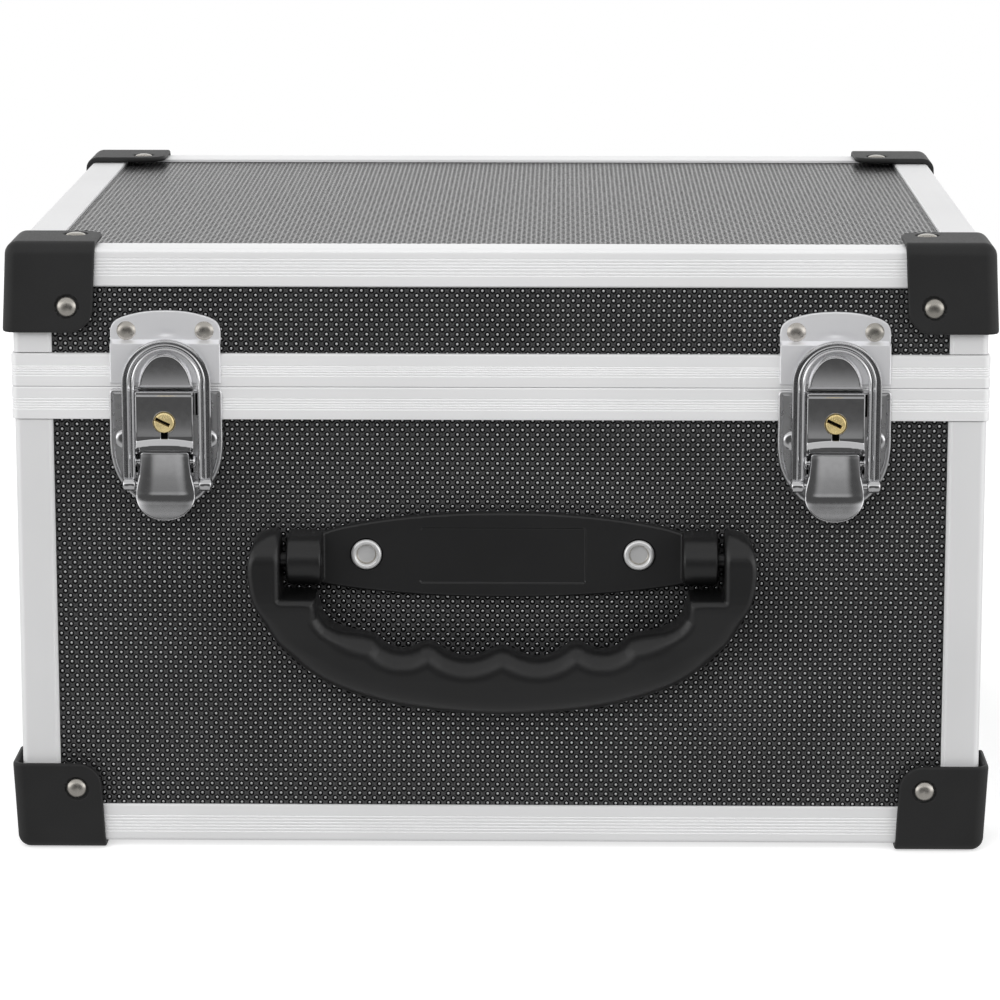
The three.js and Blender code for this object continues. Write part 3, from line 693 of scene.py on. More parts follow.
body_rim = (rim_face(141.9, 152.3, [145.17, 146.05, 146.8, 147.65, 148.6])
            + [(-4.0, 152.2), (-4.0, 154.8), (-4.3, 155.1), (-5.3, 155.1), (-5.6, 154.8), (-5.6, 152.2), (-7.0, 152.2), (-7.0, 141.9), (-5.4, 141.9),
               (-5.4, 149.3), (-1.2, 149.3), (-1.2, 141.9)])
make_piece("body_rim_metal", loft(rim_loops(body_rim), close=True), "case_body", ALU_RIM, ["body_rim_frame"], sharp=14)
lid_rim = (rim_face(152.5, 163.0, [156.0, 156.9, 157.68, 158.42, 159.06])
           + [(-1.2, 163.0), (-1.2, 158.7), (-6.2, 158.7), (-6.2, 163.0), (-7.4, 163.0), (-7.4, 152.6), (-6.2, 152.6), (-6.2, 156.6),
              (-1.2, 156.6), (-1.2, 154.4), (-3.3, 154.4), (-3.3, 152.6)])
make_piece("lid_rim_metal", loft(rim_loops(lid_rim), close=True), "lid", ALU_RIM, ["lid_rim_frame"], sharp=14)


# ---------------------------------------------------------------- corner caps
CAP_X, CAP_Y, CAP_Z, CAP_LEG, CAP_LEAN = 156.9, 129.4, 198.8, 28.8, 0.045


def cap_field(a, b, c):
    """a, b and c are depths behind the cap's three outer faces; the two upright
    flanges lean out a little towards their free ends."""
    a, b = a + CAP_LEAN * c, b + CAP_LEAN * c

    def corner(x, y, z, r):
        x, y, z = r - x, r - y, r - z
        return (np.sqrt(np.maximum(x, 0) ** 2 + np.maximum(y, 0) ** 2 + np.maximum(z, 0) ** 2)
                + np.minimum(np.maximum(np.maximum(x, y), z), 0) - r)

    outer = corner(a, b, c, 4.0)
    inner = corner(a - 1.7, b - 1.7, c - 1.9, 2.6)
    shell = np.maximum(outer, -inner)

    def free(u, v):
        x, y = u - (CAP_LEG - 7.5), v - (CAP_LEG - 7.5)
        return np.sqrt(np.maximum(x, 0) ** 2 + np.maximum(y, 0) ** 2) + np.minimum(np.maximum(x, y), 0) - 7.5

    cut = np.maximum(np.maximum(free(a, b), free(b, c)), free(a, c))
    d = rmax(shell, cut, 0.8)

    def seat(u, v, n):                                     # shallow seat under a rivet head
        return np.maximum(np.sqrt((u - 20.5) ** 2 + (v - 20.5) ** 2) - 3.7, np.abs(n) - 0.55)

    for s in (seat(b, c, a), seat(a, c, b), seat(a, b, c)):
        d = rmax(d, -s, 0.15)
    return d


cap = nets(cap_field, (-2.2, -2.2, -0.8), (29.4, 29.4, 29.4), 0.6)
dome = lathe([(0, 1.02), (0.6, 1.00), (1.2, 0.92), (1.8, 0.77), (2.35, 0.54), (2.75, 0.27), (3.02, 0.0), (3.16, -0.2), (3.2, -0.4), (3.2, -0.9)], 36)
low_dome = lathe([(0, 0.62), (0.8, 0.60), (1.6, 0.50), (2.3, 0.33), (2.8, 0.12), (3.1, -0.12), (3.2, -0.35), (3.2, -0.9)], 36)
flush = lathe([(0, 0.30), (1.4, 0.28), (2.4, 0.2), (3.0, 0.0), (3.2, -0.3), (3.2, -0.5)], 36)
for level, body in (("top", "lid"), ("bottom", "case_body")):
    for tag, sx, sy in (("front_left", -1, -1), ("front_right", 1, -1), ("back_left", -1, 1), ("back_right", 1, 1)):
        up = 1 if level == "top" else -1
        zf = CAP_Z if level == "top" else 0.0
        # depths run inward, so each axis of the field is turned round
        base = cap.flipped(-sx, -sy, -up).moved(sx * CAP_X, sy * CAP_Y, zf)
        make_piece(f"{level}_cap_{tag}_moulding", base, body, CAP, [f"{level}_cap_{tag}"])
        rz = zf - up * 20.5
        out = 20.5 * CAP_LEAN
        heads = [aim(dome, (sx * (CAP_X - 20.5 + out), sy * (CAP_Y + out - 0.05), rz), (0, sy, up * CAP_LEAN), 0.3),
                 aim(dome, (sx * (CAP_X + out - 0.05), sy * (CAP_Y - 20.5 + out), rz), (sx, 0, up * CAP_LEAN), 1.1)]
        heads.append(aim(low_dome if level == "top" else flush, (sx * (CAP_X - 20.5), sy * (CAP_Y - 20.5), zf - up * (0.15 if level == "top" else 0.45)), (0, 0, up), 2.0))
        make_piece(f"{level}_cap_{tag}_rivets", heads, body, RIVET)


# --------------------------------------------------------- lining and divider
def slab(x0, x1, y0, y1, z0, z1, r, corner=0.8):
    """A padded board with its edges rolled over."""
    cx, cy, hx, hy = (x0 + x1) / 2, (y0 + y1) / 2, (x1 - x0) / 2, (y1 - y0) / 2
    loops = []
    for t in np.radians(np.linspace(-90, 0, 5)):
        ins, z = r * (1 - math.cos(t)), z0 + r + r * math.sin(t)
        loops.append([(cx + x, cy + y, z) for x, y in round_rect(hx - ins, hy - ins, max(corner - ins, 0.15), 4)])
    for t in np.radians(np.linspace(0, 90, 5)):
        ins, z = r * (1 - math.cos(t)), z1 - r + r * math.sin(t)
        loops.append([(cx + x, cy + y, z) for x, y in round_rect(hx - ins, hy - ins, max(corner - ins, 0.15), 4)])
    return loft(loops)


def tray_lining(z_floor, z_edge, up):
    """A foam tray: outer wall, rolled edge, inner wall and floor with a soft fillet."""
    hx, hy = 149.5, 122.0
    prof = [(0.0, z_floor, 0.8), (0.0, z_edge - up * 0.9, 0.8), (0.25, z_edge - up * 0.25, 0.9), (1.0, z_edge, 1.2), (1.75, z_edge - up * 0.25, 1.6),
            (2.0, z_edge - up * 0.9, 2.0), (2.0, z_floor + up * 5.0, 2.0), (2.35, z_floor + up * 3.4, 2.2), (3.2, z_floor + up * 2.4, 2.8), (5.0, z_floor + up * 2.0, 3.5)]
    loops = [[(x, y, z) for x, y in round_rect(hx - i, hy - i, r, 5)] for i, z, r in prof]
    return loft(loops)


guides = [slab(*sorted((sx * 2.1, sx * 4.1)), *sorted((sy * 114.0, sy * 121.0)), 9.0, 128.0, 0.6, 0.7) for sx in (-1, 1) for sy in (-1, 1)]
make_piece("body_lining_foam", [tray_lining(7.7, 141.6, 1)] + guides, "case_body", LINING, ["body_lining"])
make_piece("lid_lining_foam", tray_lining(191.2, 163.3, -1), "lid", LINING, ["lid_lining"])
make_piece("centre_divider_board", slab(-1.8, 1.8, -119.6, 119.6, 10.0, 128.0, 1.2, 1.4), "case_body", LINING, ["centre_divider"])


# --------------------------------------------------------------------- hinges
def leaf_field(lower):
    """Half of a butt hinge on the back: w is out of the back post plane."""
    def F(x, y, z):
        w = y - HY
        cz = 152.3 - 11.0 if lower else 152.5 + 11.0
        qx, qz = np.abs(x) - (25 - 2.2), np.abs(z - cz) - (11.0 - 2.2)
        plan = np.sqrt(np.maximum(qx, 0) ** 2 + np.maximum(qz, 0) ** 2) + np.minimum(np.maximum(qx, qz), 0) - 2.2
        plate = rmax(plan, np.abs(w - 1.55) - 0.6, 0.25)
        rad = np.sqrt((w - 4.0) ** 2 + (z - Z_PART) ** 2)
        ax = np.abs(x)
        gap = np.maximum(rad - 3.25, ax - 8.9) if lower else np.maximum(rad - 3.25, 8.6 - ax)
        plate = np.maximum(plate, -gap)
        span = np.abs(ax - 16.95) - 8.05 if lower else ax - 8.6
        knuckle = rmax(rad - 2.9, span, 0.3)
        return np.maximum(rmin(plate, knuckle, 0.5), 1.7 - rad)
    return F


step = 0.42
leaf_low = nets(leaf_field(True), (-25.8, HY + 0.2, 129.5), (25.8, HY + 7.6, 156.2), step)
leaf_high = nets(leaf_field(False), (-25.8, HY + 0.2, 148.6), (25.8, HY + 7.6, 175.4), step)
small_dome = lathe([(0, 0.95), (0.6, 0.91), (1.2, 0.78), (1.8, 0.52), (2.2, 0.18), (2.4, -0.2), (2.4, -0.5)], 32)
pin_profile = [(0, 24.4), (0.8, 24.3), (1.25, 24.0), (1.45, 23.4), (1.45, -23.4), (1.25, -24.0), (0.8, -24.3), (0, -24.4)]
for side, s in (("left", -1), ("right", 1)):
    for part, shape, body, z in (("body", leaf_low, "case_body", 136.0), ("lid", leaf_high, "lid", 168.8)):
        make_piece(f"hinge_{side}_{part}_leaf_metal", shape.moved(dx=s * HINGE_X), body, SATIN, [f"hinge_{side}_{part}_leaf"])
        heads = [aim(small_dome, (s * HINGE_X + dx, HY + 2.15, z), (0, 1, 0), 0.4) for dx in (-18, 0, 18)]
        make_piece(f"hinge_{side}_{part}_rivets", heads, body, RIVET)
    pin = aim(lathe(pin_profile, 28), (s * HINGE_X, HY + 4.0, Z_PART), (1, 0, 0))
    make_piece(f"hinge_{side}_pin_metal", pin, "case_body", CHROME, [f"hinge_{side}_pin"])


# -------------------------------------------------------------------- latches
PIVOT, LINK, LOCK_Z = (5.4, 129.2), (4.6, 121.5), 142.1
catch_face = mirrored(spline([(0, 176.8), (4, 176.65), (7.8, 176.2), (11, 175.5), (13.4, 174.8), (15.2, 174.0), (16.5, 173.0), (17.3, 171.6), (17.6, 170.0)], 3)
                      + [(17.6, 153.7), (0, 153.7)])
catch_side = [(0, 178), (0, 167.3), (2.1, 166.4), (2.1, 150), (0.95, 150), (0.95, 165.7), (-1.2, 166.6), (-1.2, 178)]
tongue_face = mirrored(spline([(0, 163.9), (2.7, 163.4), (4.9, 162.1), (6.5, 160.3), (7.7, 158.3), (8.5, 156.0), (8.85, 153.6), (8.9, 152.2)], 3) + [(8.9, 148.0), (0, 148.0)])
tongue_side = [(1.2, 152.45), (2.6, 152.3), (3.35, 152.55), (3.75, 153.25), (3.75, 166.0), (2.2, 166.0), (2.2, 157), (1.2, 156.4)]


def catch_field(x, y, z):
    w = -HY - y
    # a soft hollow, deepest near its foot, so that it faces down
    u = (z - 169.5) / np.where(np.asarray(z) < 169.5, 0.90, 1.20)
    dent = 0.30 * np.exp(-((x / 2.5) ** 2 + u ** 2))
    side = sd_poly(np.asarray(w) + dent * (np.asarray(w) > -0.6), z, catch_side)
    return rmax(sd_poly(x, z, catch_face), side, 0.42)


def tongue_field(x, y, z):
    w = -HY - y
    plan = sd_poly(x, z, tongue_face)
    # a sloping shoulder round a face that leans back a little towards its foot
    shoulder = (w - 2.35 + 1.4 * np.maximum(plan, -2.0)) / 1.72
    lean = w + 0.0034 * np.maximum(162.0 - np.asarray(z), 0) ** 2
    return rmax(rmax(plan, sd_poly(lean, z, tongue_side), 0.3), shoulder, 0.3)


tray_face = mirrored([(0, 151.9)] + arc(17.2 - 0.6, 151.9 - 1.4, 1.4, 90, 0, 4)
                     + spline([(18, 149.8), (18, 140), (18, 133.5), (17.4, 128.6), (16.2, 124.6), (14.4, 121.2), (12.2, 118.3), (9.8, 116.2), (5, 114.0), (0, 113.2)], 3))


def tray_field(x, y, z):
    w = -HY - y
    plan = sd_poly(x, z, tray_face)
    back = np.where(np.asarray(z) < 141.6, -1.2, 0.95)
    d = rmax(plan, w - 2.1, 0.75)
    d = np.maximum(d, back - w)
    pocket = rmax(plan + 1.35, 1.62 - w, 0.35)
    return rmax(d, -pocket, 0.3)


housing_side = ([(1.2, 151.9), (8.45, 151.9), (8.45, 150.95)] + spline([(8.1, 150.5), (8.1, 147.5), (8.09, 145.0), (8.06, 142.5), (8.0, 140.0), (7.91, 137.5)], 5)
                + [(7.91, 130.0), (1.2, 130.0)])
cheek_side = [(1.2, 151.5), (7.9, 151.5), (7.9, 136.2), (7.2, 133.6), (7.2, 128.2), (1.2, 128.2)]


def housing_field(x, y, z):
    w = -HY - y
    ax = np.abs(x)
    # a lip along the top, and a brow that flares out along the foot
    arch = 136.3 + 0.8 * (1 - (np.minimum(ax, 9.0) / 9.0) ** 2)
    flare = 1.42 * smooth01((arch - z) / 3.0)
    block = rmax(ax - 9.2, sd_poly(w - flare, z, housing_side), 0.55)
    block = rmax(block, 132.8 - z, 0.15)
    inside = rmax(ax - 8.4, np.maximum(w - 7.0, z - 150.9), 0.4)
    shell = np.maximum(block, -inside)
    ear = np.sqrt((w - PIVOT[0]) ** 2 + (z - PIVOT[1]) ** 2) - 4.8
    ear = np.maximum(ear, 1.3 - w)
    cheek = rmax(np.abs(ax - 8.85) - 0.35, np.minimum(sd_poly(w, z, cheek_side), ear), 0.22)
    d = np.minimum(shell, cheek)
    hole = np.maximum(np.sqrt(x ** 2 + (z - LOCK_Z) ** 2) - 3.4, 5.5 - w)
    key = np.maximum(np.maximum(ax - 1.1, np.abs(z - 138.4) - 1.6), 5.5 - w)
    return rmax(d, -np.minimum(hole, key), 0.18)


tab_face = mirrored([(0, 132.5), (7.1, 132.5), (7.6, 132.2), (7.8, 131.7)] + spline([(7.9, 129), (8.1, 127), (8.25, 125.5), (8.7, 123.3), (9.1, 121.5), (9.4, 119.8), (9.5, 118.1)], 2)[:-1]
                    + [(9.5 * math.cos(t), 118.1 + 7.5 * math.sin(t)) for t in np.radians(np.linspace(0, -90, 17))])
tab_side = ([(7.3, 133.5)] + spline([(8.55, 133.5), (8.35, 130.8), (8.17, 128.0), (8.03, 125.3), (7.92, 122.5), (7.83, 119.8), (7.78, 118.2), (7.93, 117.0), (8.31, 115.4), (8.79, 113.5), (9.28, 111.6), (9.68, 109.9), (9.95, 108.4)], 7)
            + [(8.9, 108.2), (8.5, 110.2), (8.0, 112.3), (7.5, 114.3), (7.05, 116.2), (6.9, 117.6), (6.95, 119.0)])
flange_side = ([(PIVOT[0] + 2.8 * math.cos(t), PIVOT[1] + 2.8 * math.sin(t)) for t in np.radians(np.linspace(180, 90, 8))]
               + [(7.6, 131.0), (7.1, 118.4), (6.4, 118.4)]
               + [(LINK[0] + 2.1 * math.cos(t), LINK[1] + 2.1 * math.sin(t)) for t in np.radians(np.linspace(-30, -180, 10))])


def lever_field(x, y, z):
    w = -HY - y
    ax = np.abs(x)
    # flat across the middle and rolling back towards both long edges
    edge_x = 7.9 + 0.115 * np.clip(131.0 - z, 0, 13)
    roll = 0.60 * np.clip((ax - edge_x + 5.6) / 5.6, 0, 1.2) ** 2.6
    tab = rmax(sd_poly(x, z, tab_face), sd_poly(w + roll, z, tab_side), 0.42)
    flange = rmax(np.abs(ax - 7.1) - 0.5, sd_poly(w, z, flange_side), 0.2)
    flange = np.maximum(flange, 1.35 - np.sqrt((w - PIVOT[0]) ** 2 + (z - PIVOT[1]) ** 2))
    return np.minimum(tab, flange)


def bail_shape():
    """A strap with three raised ridges, swept up one leg, over the arch and down."""
    across = [(0.00, 3.85), (0.00, 4.75), (0.05, 5.10), (0.12, 5.26), (0.20, 5.12), (0.27, 4.70), (0.34, 4.50), (0.41, 4.62), (0.47, 4.90), (0.53, 5.00),
              (0.59, 4.90), (0.65, 4.60), (0.71, 4.42), (0.77, 4.66), (0.82, 5.10), (0.88, 5.38), (0.94, 5.30), (0.985, 5.0), (1.00, 4.6), (1.00, 3.95), (0.96, 3.8), (0.04, 3.8)]
    ends = []
    for z in np.linspace(LINK[1] + 0.4, 154.2, 12)[:-1]:
        ends.append(((10.0, z), (14.2, z)))
    n = 48
    for i in range(n + 1):
        t = math.pi * i / n
        ends.append(((10.0 * math.cos(t), 154.2 + 10.5 * math.sin(t)), (14.2 * math.cos(t), 154.2 + 14.1 * math.sin(t))))
    for z in np.linspace(154.2, LINK[1] + 0.4, 12)[1:]:
        ends.append(((-10.0, z), (-14.2, z)))
    loops = []
    for (ix, iz), (ox, oz) in ends:
        loops.append([(ix + (ox - ix) * t, -HY - w, iz + (oz - iz) * t) for t, w in across])
    strap = loft(loops)
    eye = lathe([(0, 2.1), (1.5, 2.1), (1.95, 1.85), (2.1, 1.5), (2.1, -1.5), (1.95, -1.85), (1.5, -2.1), (0, -2.1)], 28)
    rod = lathe([(0, 14.6), (0.7, 14.5), (1.05, 14.25), (1.15, 13.9), (1.15, -13.9), (1.05, -14.25), (0.7, -14.5), (0, -14.6)], 24)
    at = (0, -HY - LINK[0], LINK[1])
    parts = [strap, aim(eye, (12.1, at[1], at[2]), (1, 0, 0)), aim(eye, (-12.1, at[1], at[2]), (1, 0, 0)), aim(rod, at, (1, 0, 0))]
    a = math.radians(0.67)
    c, s = math.cos(a), math.sin(a)
    for p in parts:
        y, z = p.V[:, 1] - at[1], p.V[:, 2] - at[2]
        p.V[:, 1], p.V[:, 2] = at[1] + c * y - s * z, at[2] + s * y + c * z
        p.V[:, 0] += 0.45                                  # the bail has a little side play
    return parts


def barrel_field(x, y, z):
    w = -HY - y
    r = np.sqrt(x ** 2 + (z - LOCK_Z) ** 2)
    body = rmax(r - 3.2, np.abs(w - 6.15) - 2.95 + 0.035 * r ** 2 * (w > 6.15), 0.40)
    a = math.radians(25)
    u = x * math.cos(a) - (z - LOCK_Z) * math.sin(a)
    v = x * math.sin(a) + (z - LOCK_Z) * math.cos(a)
    slot = np.maximum(np.maximum(np.abs(u + 0.5) - 2.5, np.abs(v) - 0.60), 6.2 - w)
    return rmax(body, -slot, 0.12)


k = 1.0
catch_plate = nets(catch_field, (-18.3, -HY - 2.8, 153.0), (18.3, -HY + 1.9, 177.6), 0.32 * k)
tongue = nets(tongue_field, (-9.6, -HY - 4.6, 151.6), (9.6, -HY - 0.6, 165.0), 0.28 * k)
tray = nets(tray_field, (-18.6, -HY - 2.8, 112.5), (18.6, -HY + 1.9, 152.6), 0.36 * k)
housing = nets(housing_field, (-9.8, -HY - 9.1, 123.7), (9.8, -HY - 0.7, 152.5), 0.26 * k)
lever = nets(lever_field, (-10.1, -HY - 11.0, 109.9), (10.1, -HY - 1.6, 132.7), 0.26 * k)
bail = bail_shape()
barrel = nets(barrel_field, (-3.6, -HY - 9.6, LOCK_Z - 3.6), (3.6, -HY - 2.8, LOCK_Z + 3.6), 0.16 * k)
pivot_head = lathe([(0, 0.75), (0.9, 0.70), (1.6, 0.52), (2.05, 0.22), (2.2, 0.0), (2.2, -0.2)], 28)
pivot_rod = lathe([(1.2, 9.4), (1.2, -9.4)], 24)
boss_dome = lathe([(0, 0.78), (0.8, 0.76), (1.6, 0.68), (2.2, 0.54), (2.7, 0.34), (3.05, 0.08), (3.2, -0.2), (3.2, -0.5)], 36)
# thin black plates beside the housing's edges and behind the keyway: painted shade in the gaps
gap_shades = [slab(x0, x1, -HY - 1.9, -HY - 1.5, z0, 151.0, 0.12, 0.15) for x0, x1, z0 in ((9.45, 10.35, 143.4), (-9.95, -9.4, 141.0))]
gap_shades.append(slab(-1.7, 1.7, -HY - 5.9, -HY - 5.5, 136.2, 139.6, 0.12, 0.15))
cam = slab(-7.4, 1.5, -HY - 4.4, -HY - 3.2, LOCK_Z - 1.5, LOCK_Z + 1.5, 0.2, 0.3)
# a black plate lining the bottom of the barrel's slot: painted shade in the slot
keyslot_shade = slab(-2.9, 1.9, -HY - 7.0, -HY - 6.1, LOCK_Z - 0.56, LOCK_Z + 0.56, 0.15, 0.2)
turn = math.radians(-25)
wx, wz = keyslot_shade.V[:, 0].copy(), keyslot_shade.V[:, 2] - LOCK_Z
keyslot_shade.V[:, 0], keyslot_shade.V[:, 2] = wx * math.cos(turn) - wz * math.sin(turn), LOCK_Z + wx * math.sin(turn) + wz * math.cos(turn)
for side, s in (("left", -1), ("right", 1)):
    dx = s * LATCH_X
    lock = f"lock_{side}"
    at = lambda part, u: part.moved(dx=u)
    make_piece(f"latch_{side}_catch_plate", [at(catch_plate, dx)], "lid", SATIN, [f"latch_{side}_catch"])
    make_piece(f"latch_{side}_catch_tongue", [at(tongue, dx)], "lid", CHROME)
    heads = [aim(dome, (dx + u, -HY - 0.05, 170.3), (0, -1, 0), 0.2 + u) for u in (-12.4, 12.4)]
    make_piece(f"latch_{side}_catch_rivets", heads, "lid", RIVET)
    rod = [at(aim(pivot_rod, (0, -HY - PIVOT[0], PIVOT[1]), (1, 0, 0)), dx),
           at(aim(pivot_head, (9.2, -HY - PIVOT[0], PIVOT[1]), (1, 0, 0)), dx),
           at(aim(pivot_head, (-9.2, -HY - PIVOT[0], PIVOT[1]), (-1, 0, 0)), dx)]
    make_piece(f"latch_{side}_base_housing", [at(tray, dx), Shape(at(housing, dx).V, housing.faces, housing.normals, index=1)], "case_body", [CHROME_SOFT, CHROME], [f"latch_{side}_base"])
    make_piece(f"latch_{side}_base_slots", [at(v, dx) for v in gap_shades], "case_body", DARK)
    make_piece(f"latch_{side}_pivot_pin", rod, "case_body", CHROME)
    heads = [aim(boss_dome, (dx + u, -HY - 1.6, 135.6), (0, -1, 0), 0.2 + u) for u in (-13.3, 13.3)]
    make_piece(f"latch_{side}_base_rivets", heads, "case_body", CHROME)
    make_piece(f"latch_{side}_lever_tab", at(lever, dx), f"lever_{side}", CHROME, [f"latch_{side}_lever"])
    make_piece(f"latch_{side}_bail_strap", [at(b, dx) for b in bail], f"bail_{side}", CHROME, [f"latch_{side}_bail"])
    make_piece(f"latch_{side}_lock_barrel", at(barrel, dx), lock, BRASS, [f"latch_{side}_lock_cylinder"])
    make_piece(f"latch_{side}_lock_cam", at(cam, dx), lock, BRASS)
    make_piece(f"latch_{side}_lock_wards", at(keyslot_shade, dx), lock, DARK)


# --------------------------------------------------------------------- handle
PZ, PW = 98.2, 9.7
plate_top = [(0, 112.2), (15, 111.9), (30, 110.8), (42, 109.2), (52, 107.3), (58, 105.4), (62, 103.8)]
plate_bottom = [(62, 90.2), (58, 88.8), (45, 86.9), (30, 85.5), (15, 84.7), (0, 84.5)]
plate_face = mirrored(spline([(-15, 111.9)] + plate_top, 3)[3:] + spline(plate_bottom + [(-15, 84.7)], 3)[:-3])


def plate_field(x, y, z):
    w = -HY - y
    ax = np.abs(x)
    d = rmax(sd_poly(x, z, plate_face), np.abs(w - 1.0) - 2.2, 0.9)
    qx, qz = ax - (26.5 - 1.0), np.abs(z - 98.2) - (9.0 - 1.0)
    plan = np.sqrt(np.maximum(qx, 0) ** 2 + np.maximum(qz, 0) ** 2) + np.minimum(np.maximum(qx, qz), 0) - 1.0
    d = rmax(d, -rmax(plan, 2.9 - w, 0.15), 0.3)
    rad = np.sqrt((w - PW) ** 2 + (z - PZ) ** 2)
    stem = np.maximum(np.abs(z - PZ) - 7.7, w - PW)
    boss = np.maximum(np.minimum(rad - 7.7, stem), -1.2 - w)
    boss = rmax(boss, np.abs(ax - 63.0) - 5.5, 0.8)
    d = rmin(d, boss, 0.8)
    d = np.maximum(d, 2.6 - rad)
    well = np.maximum(np.sqrt((ax - 43.6) ** 2 + (z - 98.6) ** 2) - 5.1, 1.4 - w)
    return rmax(d, -well, 0.3)


grip_outer = [(0, 46.4), (8, 46.7), (17, 47.6), (26, 48.9), (35.5, 50.7), (42.5, 52.8), (48.5, 54.8), (54.5, 57.3), (60, 60.6), (65, 64.5),
              (69.5, 69.1), (73, 73.8), (76.5, 80), (79.2, 86), (80.5, 92), (80.8, 97), (80.2, 101), (78.6, 104.8), (75.2, 107.8), (72.5, 108.8), (70.5, 108.9)]
grip_inner = [(59.4, 87), (58.6, 84.2), (57.8, 81), (55.5, 77.8), (51.2, 75.6), (45.8, 74.7), (40.4, 73.5), (37.7, 70.9), (33.9, 69.1),
              (29.6, 69.2), (26.4, 70.8), (23.7, 71.5), (21, 70.7), (17.5, 68.2), (13.5, 66.7), (9.6, 66.6), (5.9, 67.7), (2.6, 69.4), (0, 69.9)]
grip_half = spline([(-8, 46.7)] + grip_outer, 2)[2:] + [(70.5, 87.0)] + spline(grip_inner + [(-2.6, 69.4)], 2)[:-2]
grip_face = mirrored(grip_half)
grip_side = ([(PW - 10.6 * math.cos(t), PZ + 10.6 * math.sin(t)) for t in np.radians(np.linspace(0, 180, 25))]
             + spline([(20.3, 96), (20.3, 86), (19.6, 78.5), (18.8, 72), (17.6, 60), (15.6, 50), (13, 45)], 3)
             + spline([(5, 45), (2.6, 50), (0.8, 60), (0.2, 72), (-0.5, 78.5), (-0.9, 84), (-0.9, 96)], 3))


def grip_field(x, y, z):
    w = -HY - y
    ax = np.abs(x)
    # broad rounding on the hand part, tighter on the horns and the arms
    t = smooth01((z - 71.0) / 15.0) * np.maximum(smooth01((ax - 50.0) / 14.0), 0)
    r = 7.6 * (1 - t) + 2.2 * t
    r = np.minimum(r, 7.6 - 2.8 * smooth01((ax - 44) / 12) * smooth01((z - 66) / 8))
    return rmax(sd_poly(x, z, grip_face), sd_poly(w, z, grip_side), r)


plate = nets(plate_field, (-70.0, -HY - 18.6, 83.4), (70.0, -HY + 2.4, 113.4), 0.55)
grip = nets(grip_field, (-82.6, -HY - 21.8, 44.4), (82.6, -HY + 2.4, 111.0), 0.72, 2)
stub = lathe([(0, 72.0), (1.9, 72.0), (2.3, 71.6), (2.3, 61.9), (2.0, 61.5), (0, 61.5)], 28)
make_piece("handle_plate_moulding", plate.moved(dx=HANDLE_X), "case_body", GRIP, ["handle_plate"])
stubs = [aim(stub, (HANDLE_X, -HY - PW, PZ), (s, 0, 0)) for s in (-1, 1)]
make_piece("handle_grip_moulding", grip.moved(dx=HANDLE_X), "handle", GRIP, ["handle_grip"])
make_piece("handle_stub_pins", stubs, "handle", GRIP)
ring = lathe([(3.35, 1.0), (3.2, 2.3), (3.4, 2.75), (3.8, 3.0), (4.2, 3.0), (4.6, 2.78), (4.85, 2.4), (4.9, 1.9), (4.8, 1.4), (3.6, 1.3), (3.55, 0.1), (3.35, 0.1)], 48)
well = lathe([(0, 0.75), (1.6, 0.78), (2.7, 0.92), (3.2, 1.35), (3.3, 1.9), (3.34, 1.9), (3.36, 1.0), (3.36, 0.15), (0, 0.1)], 40)
# the hollow's inside takes the darker rivet metal instead of the eyelet's: painted shade in the recess
well.index = 1
for side, s in (("left", -1), ("right", 1)):
    at = (HANDLE_X + s * 43.6, -HY - 1.5, 98.6)
    make_piece(f"handle_rivet_{side}_metal", [aim(ring, at, (0, -1, 0)), aim(well, at, (0, -1, 0))], "case_body", [EYELET, RIVET],
               [f"handle_rivet_{side}"], sharp=60)


# ------------------------------------------------------ floor, light, camera
def stage_floor():
    m, nt, bs = material("floor_paper")
    nt.links.new(ramp(nt, noise(nt, 3.0, 2.0), [(0.3, (0.84, 0.84, 0.84)), (0.7, (0.88, 0.88, 0.88))]), bs.inputs["Base Color"])
    bs.inputs["Roughness"].default_value = 0.9
    bs.inputs["Specular IOR Level"].default_value = 0.1
    bs.inputs["Emission Color"].default_value = (1, 1, 1, 1)
    bs.inputs["Emission Strength"].default_value = 0.45
    n = 96
    a = 2 * math.pi * np.arange(n) / n
    V = np.stack([0.9 * np.cos(a), 0.9 * np.sin(a) + 0.35, np.full(n, -0.0002)], 1)
    me = bpy.data.meshes.new("floor")
    me.from_pydata(V.tolist(), [], [list(range(n))])
    me.materials.append(m)
    o = bpy.data.objects.new("floor", me)
    bpy.context.scene.collection.objects.link(o)
    o.visible_glossy = False
    o.visible_diffuse = False


stage_floor()

world = bpy.data.worlds.new("studio")
bpy.context.scene.world = world
world.use_nodes = True
nt = world.node_tree
nt.nodes.clear()
W_out = nt.nodes.new("ShaderNodeOutputWorld")
tc = nt.nodes.new("ShaderNodeTexCoord")
sep = nt.nodes.new("ShaderNodeSeparateXYZ")
nt.links.new(tc.outputs["Generated"], sep.inputs[0])


def stretched(scale, offset):
    """Length of the direction scaled and shifted, for soft oval areas of the sky."""
    a = nt.nodes.new("ShaderNodeVectorMath")
    a.operation = "MULTIPLY_ADD"
    a.inputs[1].default_value = scale
    a.inputs[2].default_value = offset
    nt.links.new(tc.outputs["Generated"], a.inputs[0])
    b = nt.nodes.new("ShaderNodeVectorMath")
    b.operation = "LENGTH"
    nt.links.new(a.outputs[0], b.inputs[0])
    return b.outputs["Value"]


def eased(value, lo, hi):
    n = nt.nodes.new("ShaderNodeMapRange")
    n.interpolation_type = "SMOOTHSTEP"
    n.inputs["From Min"].default_value = lo
    n.inputs["From Max"].default_value = hi
    n.inputs["To Min"].default_value = 0.0
    n.inputs["To Max"].default_value = 1.0
    nt.links.new(value, n.inputs["Value"])
    return n.outputs[0]


def mix(a, b, fac):
    n = nt.nodes.new("ShaderNodeMix")
    n.data_type = "RGBA"
    for sock, v in ((n.inputs[6], a), (n.inputs[7], b)):
        if hasattr(v, "is_linked"):
            nt.links.new(v, sock)
        else:
            sock.default_value = (v, v, v * 1.0, 1)
    nt.links.new(fac, n.inputs[0])
    return n.outputs[2]


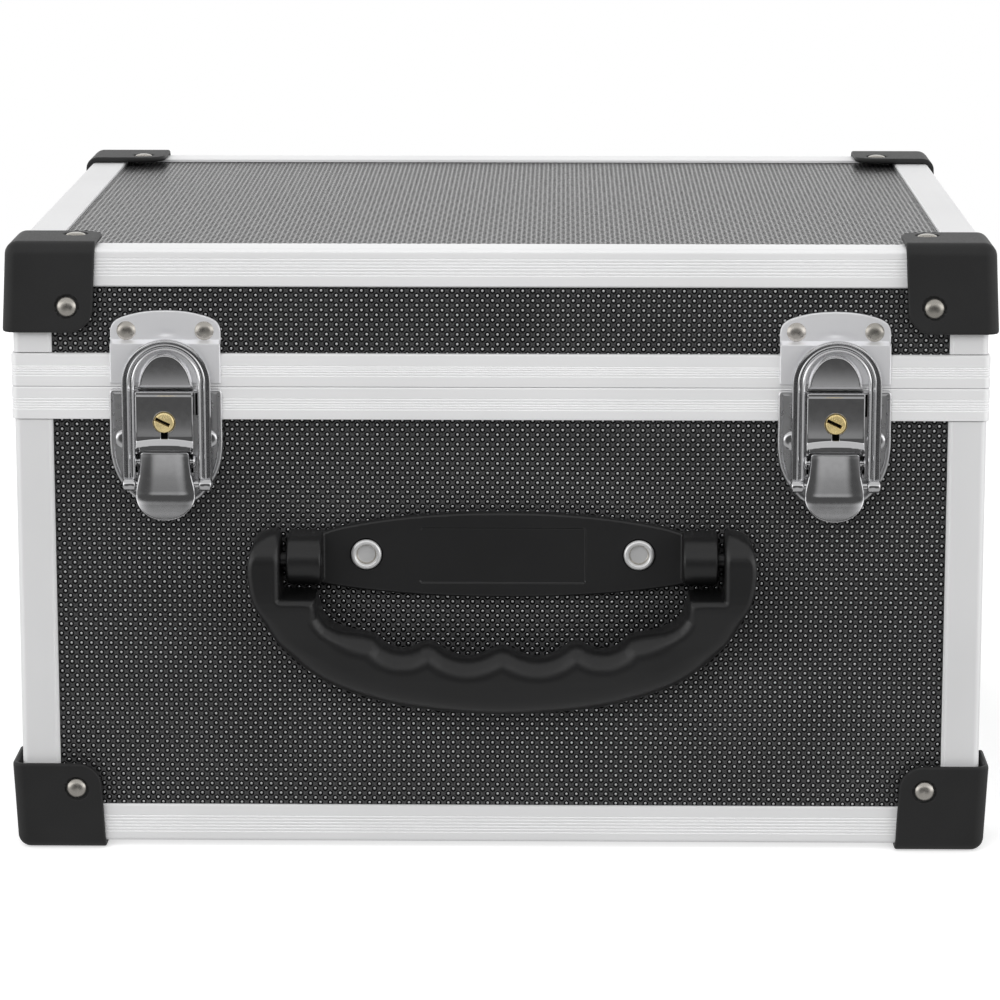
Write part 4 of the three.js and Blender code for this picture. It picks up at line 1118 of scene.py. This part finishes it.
GROUND, SIDE, BEHIND, HIGH, DARKNESS, LOWER = 0.42, 1.50, 1.12, 0.60, 0.075, 0.44
height = ranged(nt, sep.outputs[2], 0.0, 1.0, -1.0, 1.0)
ahead, astern = [ramp(nt, height, [(0.0, GROUND / 2), (0.40, GROUND / 2), (0.49, v / 2), (0.62, v / 2), (0.78, HIGH / 2), (1.0, HIGH / 2)]) for v in (SIDE, BEHIND)]
sky = mix(ahead, astern, eased(sep.outputs[1], -0.35, 0.35))
# the dark room in front, seen in everything that faces forward
front = mix(DARKNESS / 2, sky, eased(stretched((0.6, 0.35, 1.0), (0.0, 0.35, 0.04)), 0.28, 0.54))
# a lit patch of table low in front
light = mix(LOWER / 2, front, eased(stretched((1.0, 0.6, 1.0), (0.0, 0.55, 0.44)), 0.14, 0.26))
bg = nt.nodes.new("ShaderNodeBackground")
nt.links.new(light, bg.inputs[0])
bg.inputs[1].default_value = 2.3
white = nt.nodes.new("ShaderNodeBackground")
white.inputs[0].default_value = (1, 1, 1, 1)
path = nt.nodes.new("ShaderNodeLightPath")
pick = nt.nodes.new("ShaderNodeMixShader")
nt.links.new(path.outputs["Is Camera Ray"], pick.inputs[0])
nt.links.new(bg.outputs[0], pick.inputs[1])
nt.links.new(white.outputs[0], pick.inputs[2])
nt.links.new(pick.outputs[0], W_out.inputs[0])


def area(name, where, target, size, power, size_y=None):
    d = bpy.data.lights.new(name, "AREA")
    d.shape = "RECTANGLE"
    d.size = size
    d.size_y = size_y or size
    d.energy = power
    o = bpy.data.objects.new(name, d)
    bpy.context.scene.collection.objects.link(o)
    o.location = where
    from mathutils import Vector
    o.rotation_euler = (Vector(target) - Vector(where)).to_track_quat("-Z", "Y").to_euler()
    o.visible_glossy = False
    return o


area("key_soft", (-0.5, -1.7, 1.1), (0, 0, 0.1), 1.2, 15.0)
area("fill_soft", (1.7, -1.2, 0.7), (0, 0, 0.1), 1.0, 6.0)

cam_data = bpy.data.cameras.new("camera")
cam_data.lens = 147.95
cam_data.sensor_width = 36.0
cam_data.clip_start = 0.05
cam_data.clip_end = 30.0
cam = bpy.data.objects.new("camera", cam_data)
bpy.context.scene.collection.objects.link(cam)
cam.location = (0.0198, -1.4092, 0.3763)
cam.rotation_euler = (math.radians(90 - 11.43), 0.0, math.radians(0.88))
bpy.context.scene.camera = cam
bpy.context.scene.view_settings.view_transform = "Standard"
bpy.context.scene.view_settings.look = "None"

bpy.context.view_layer.update()
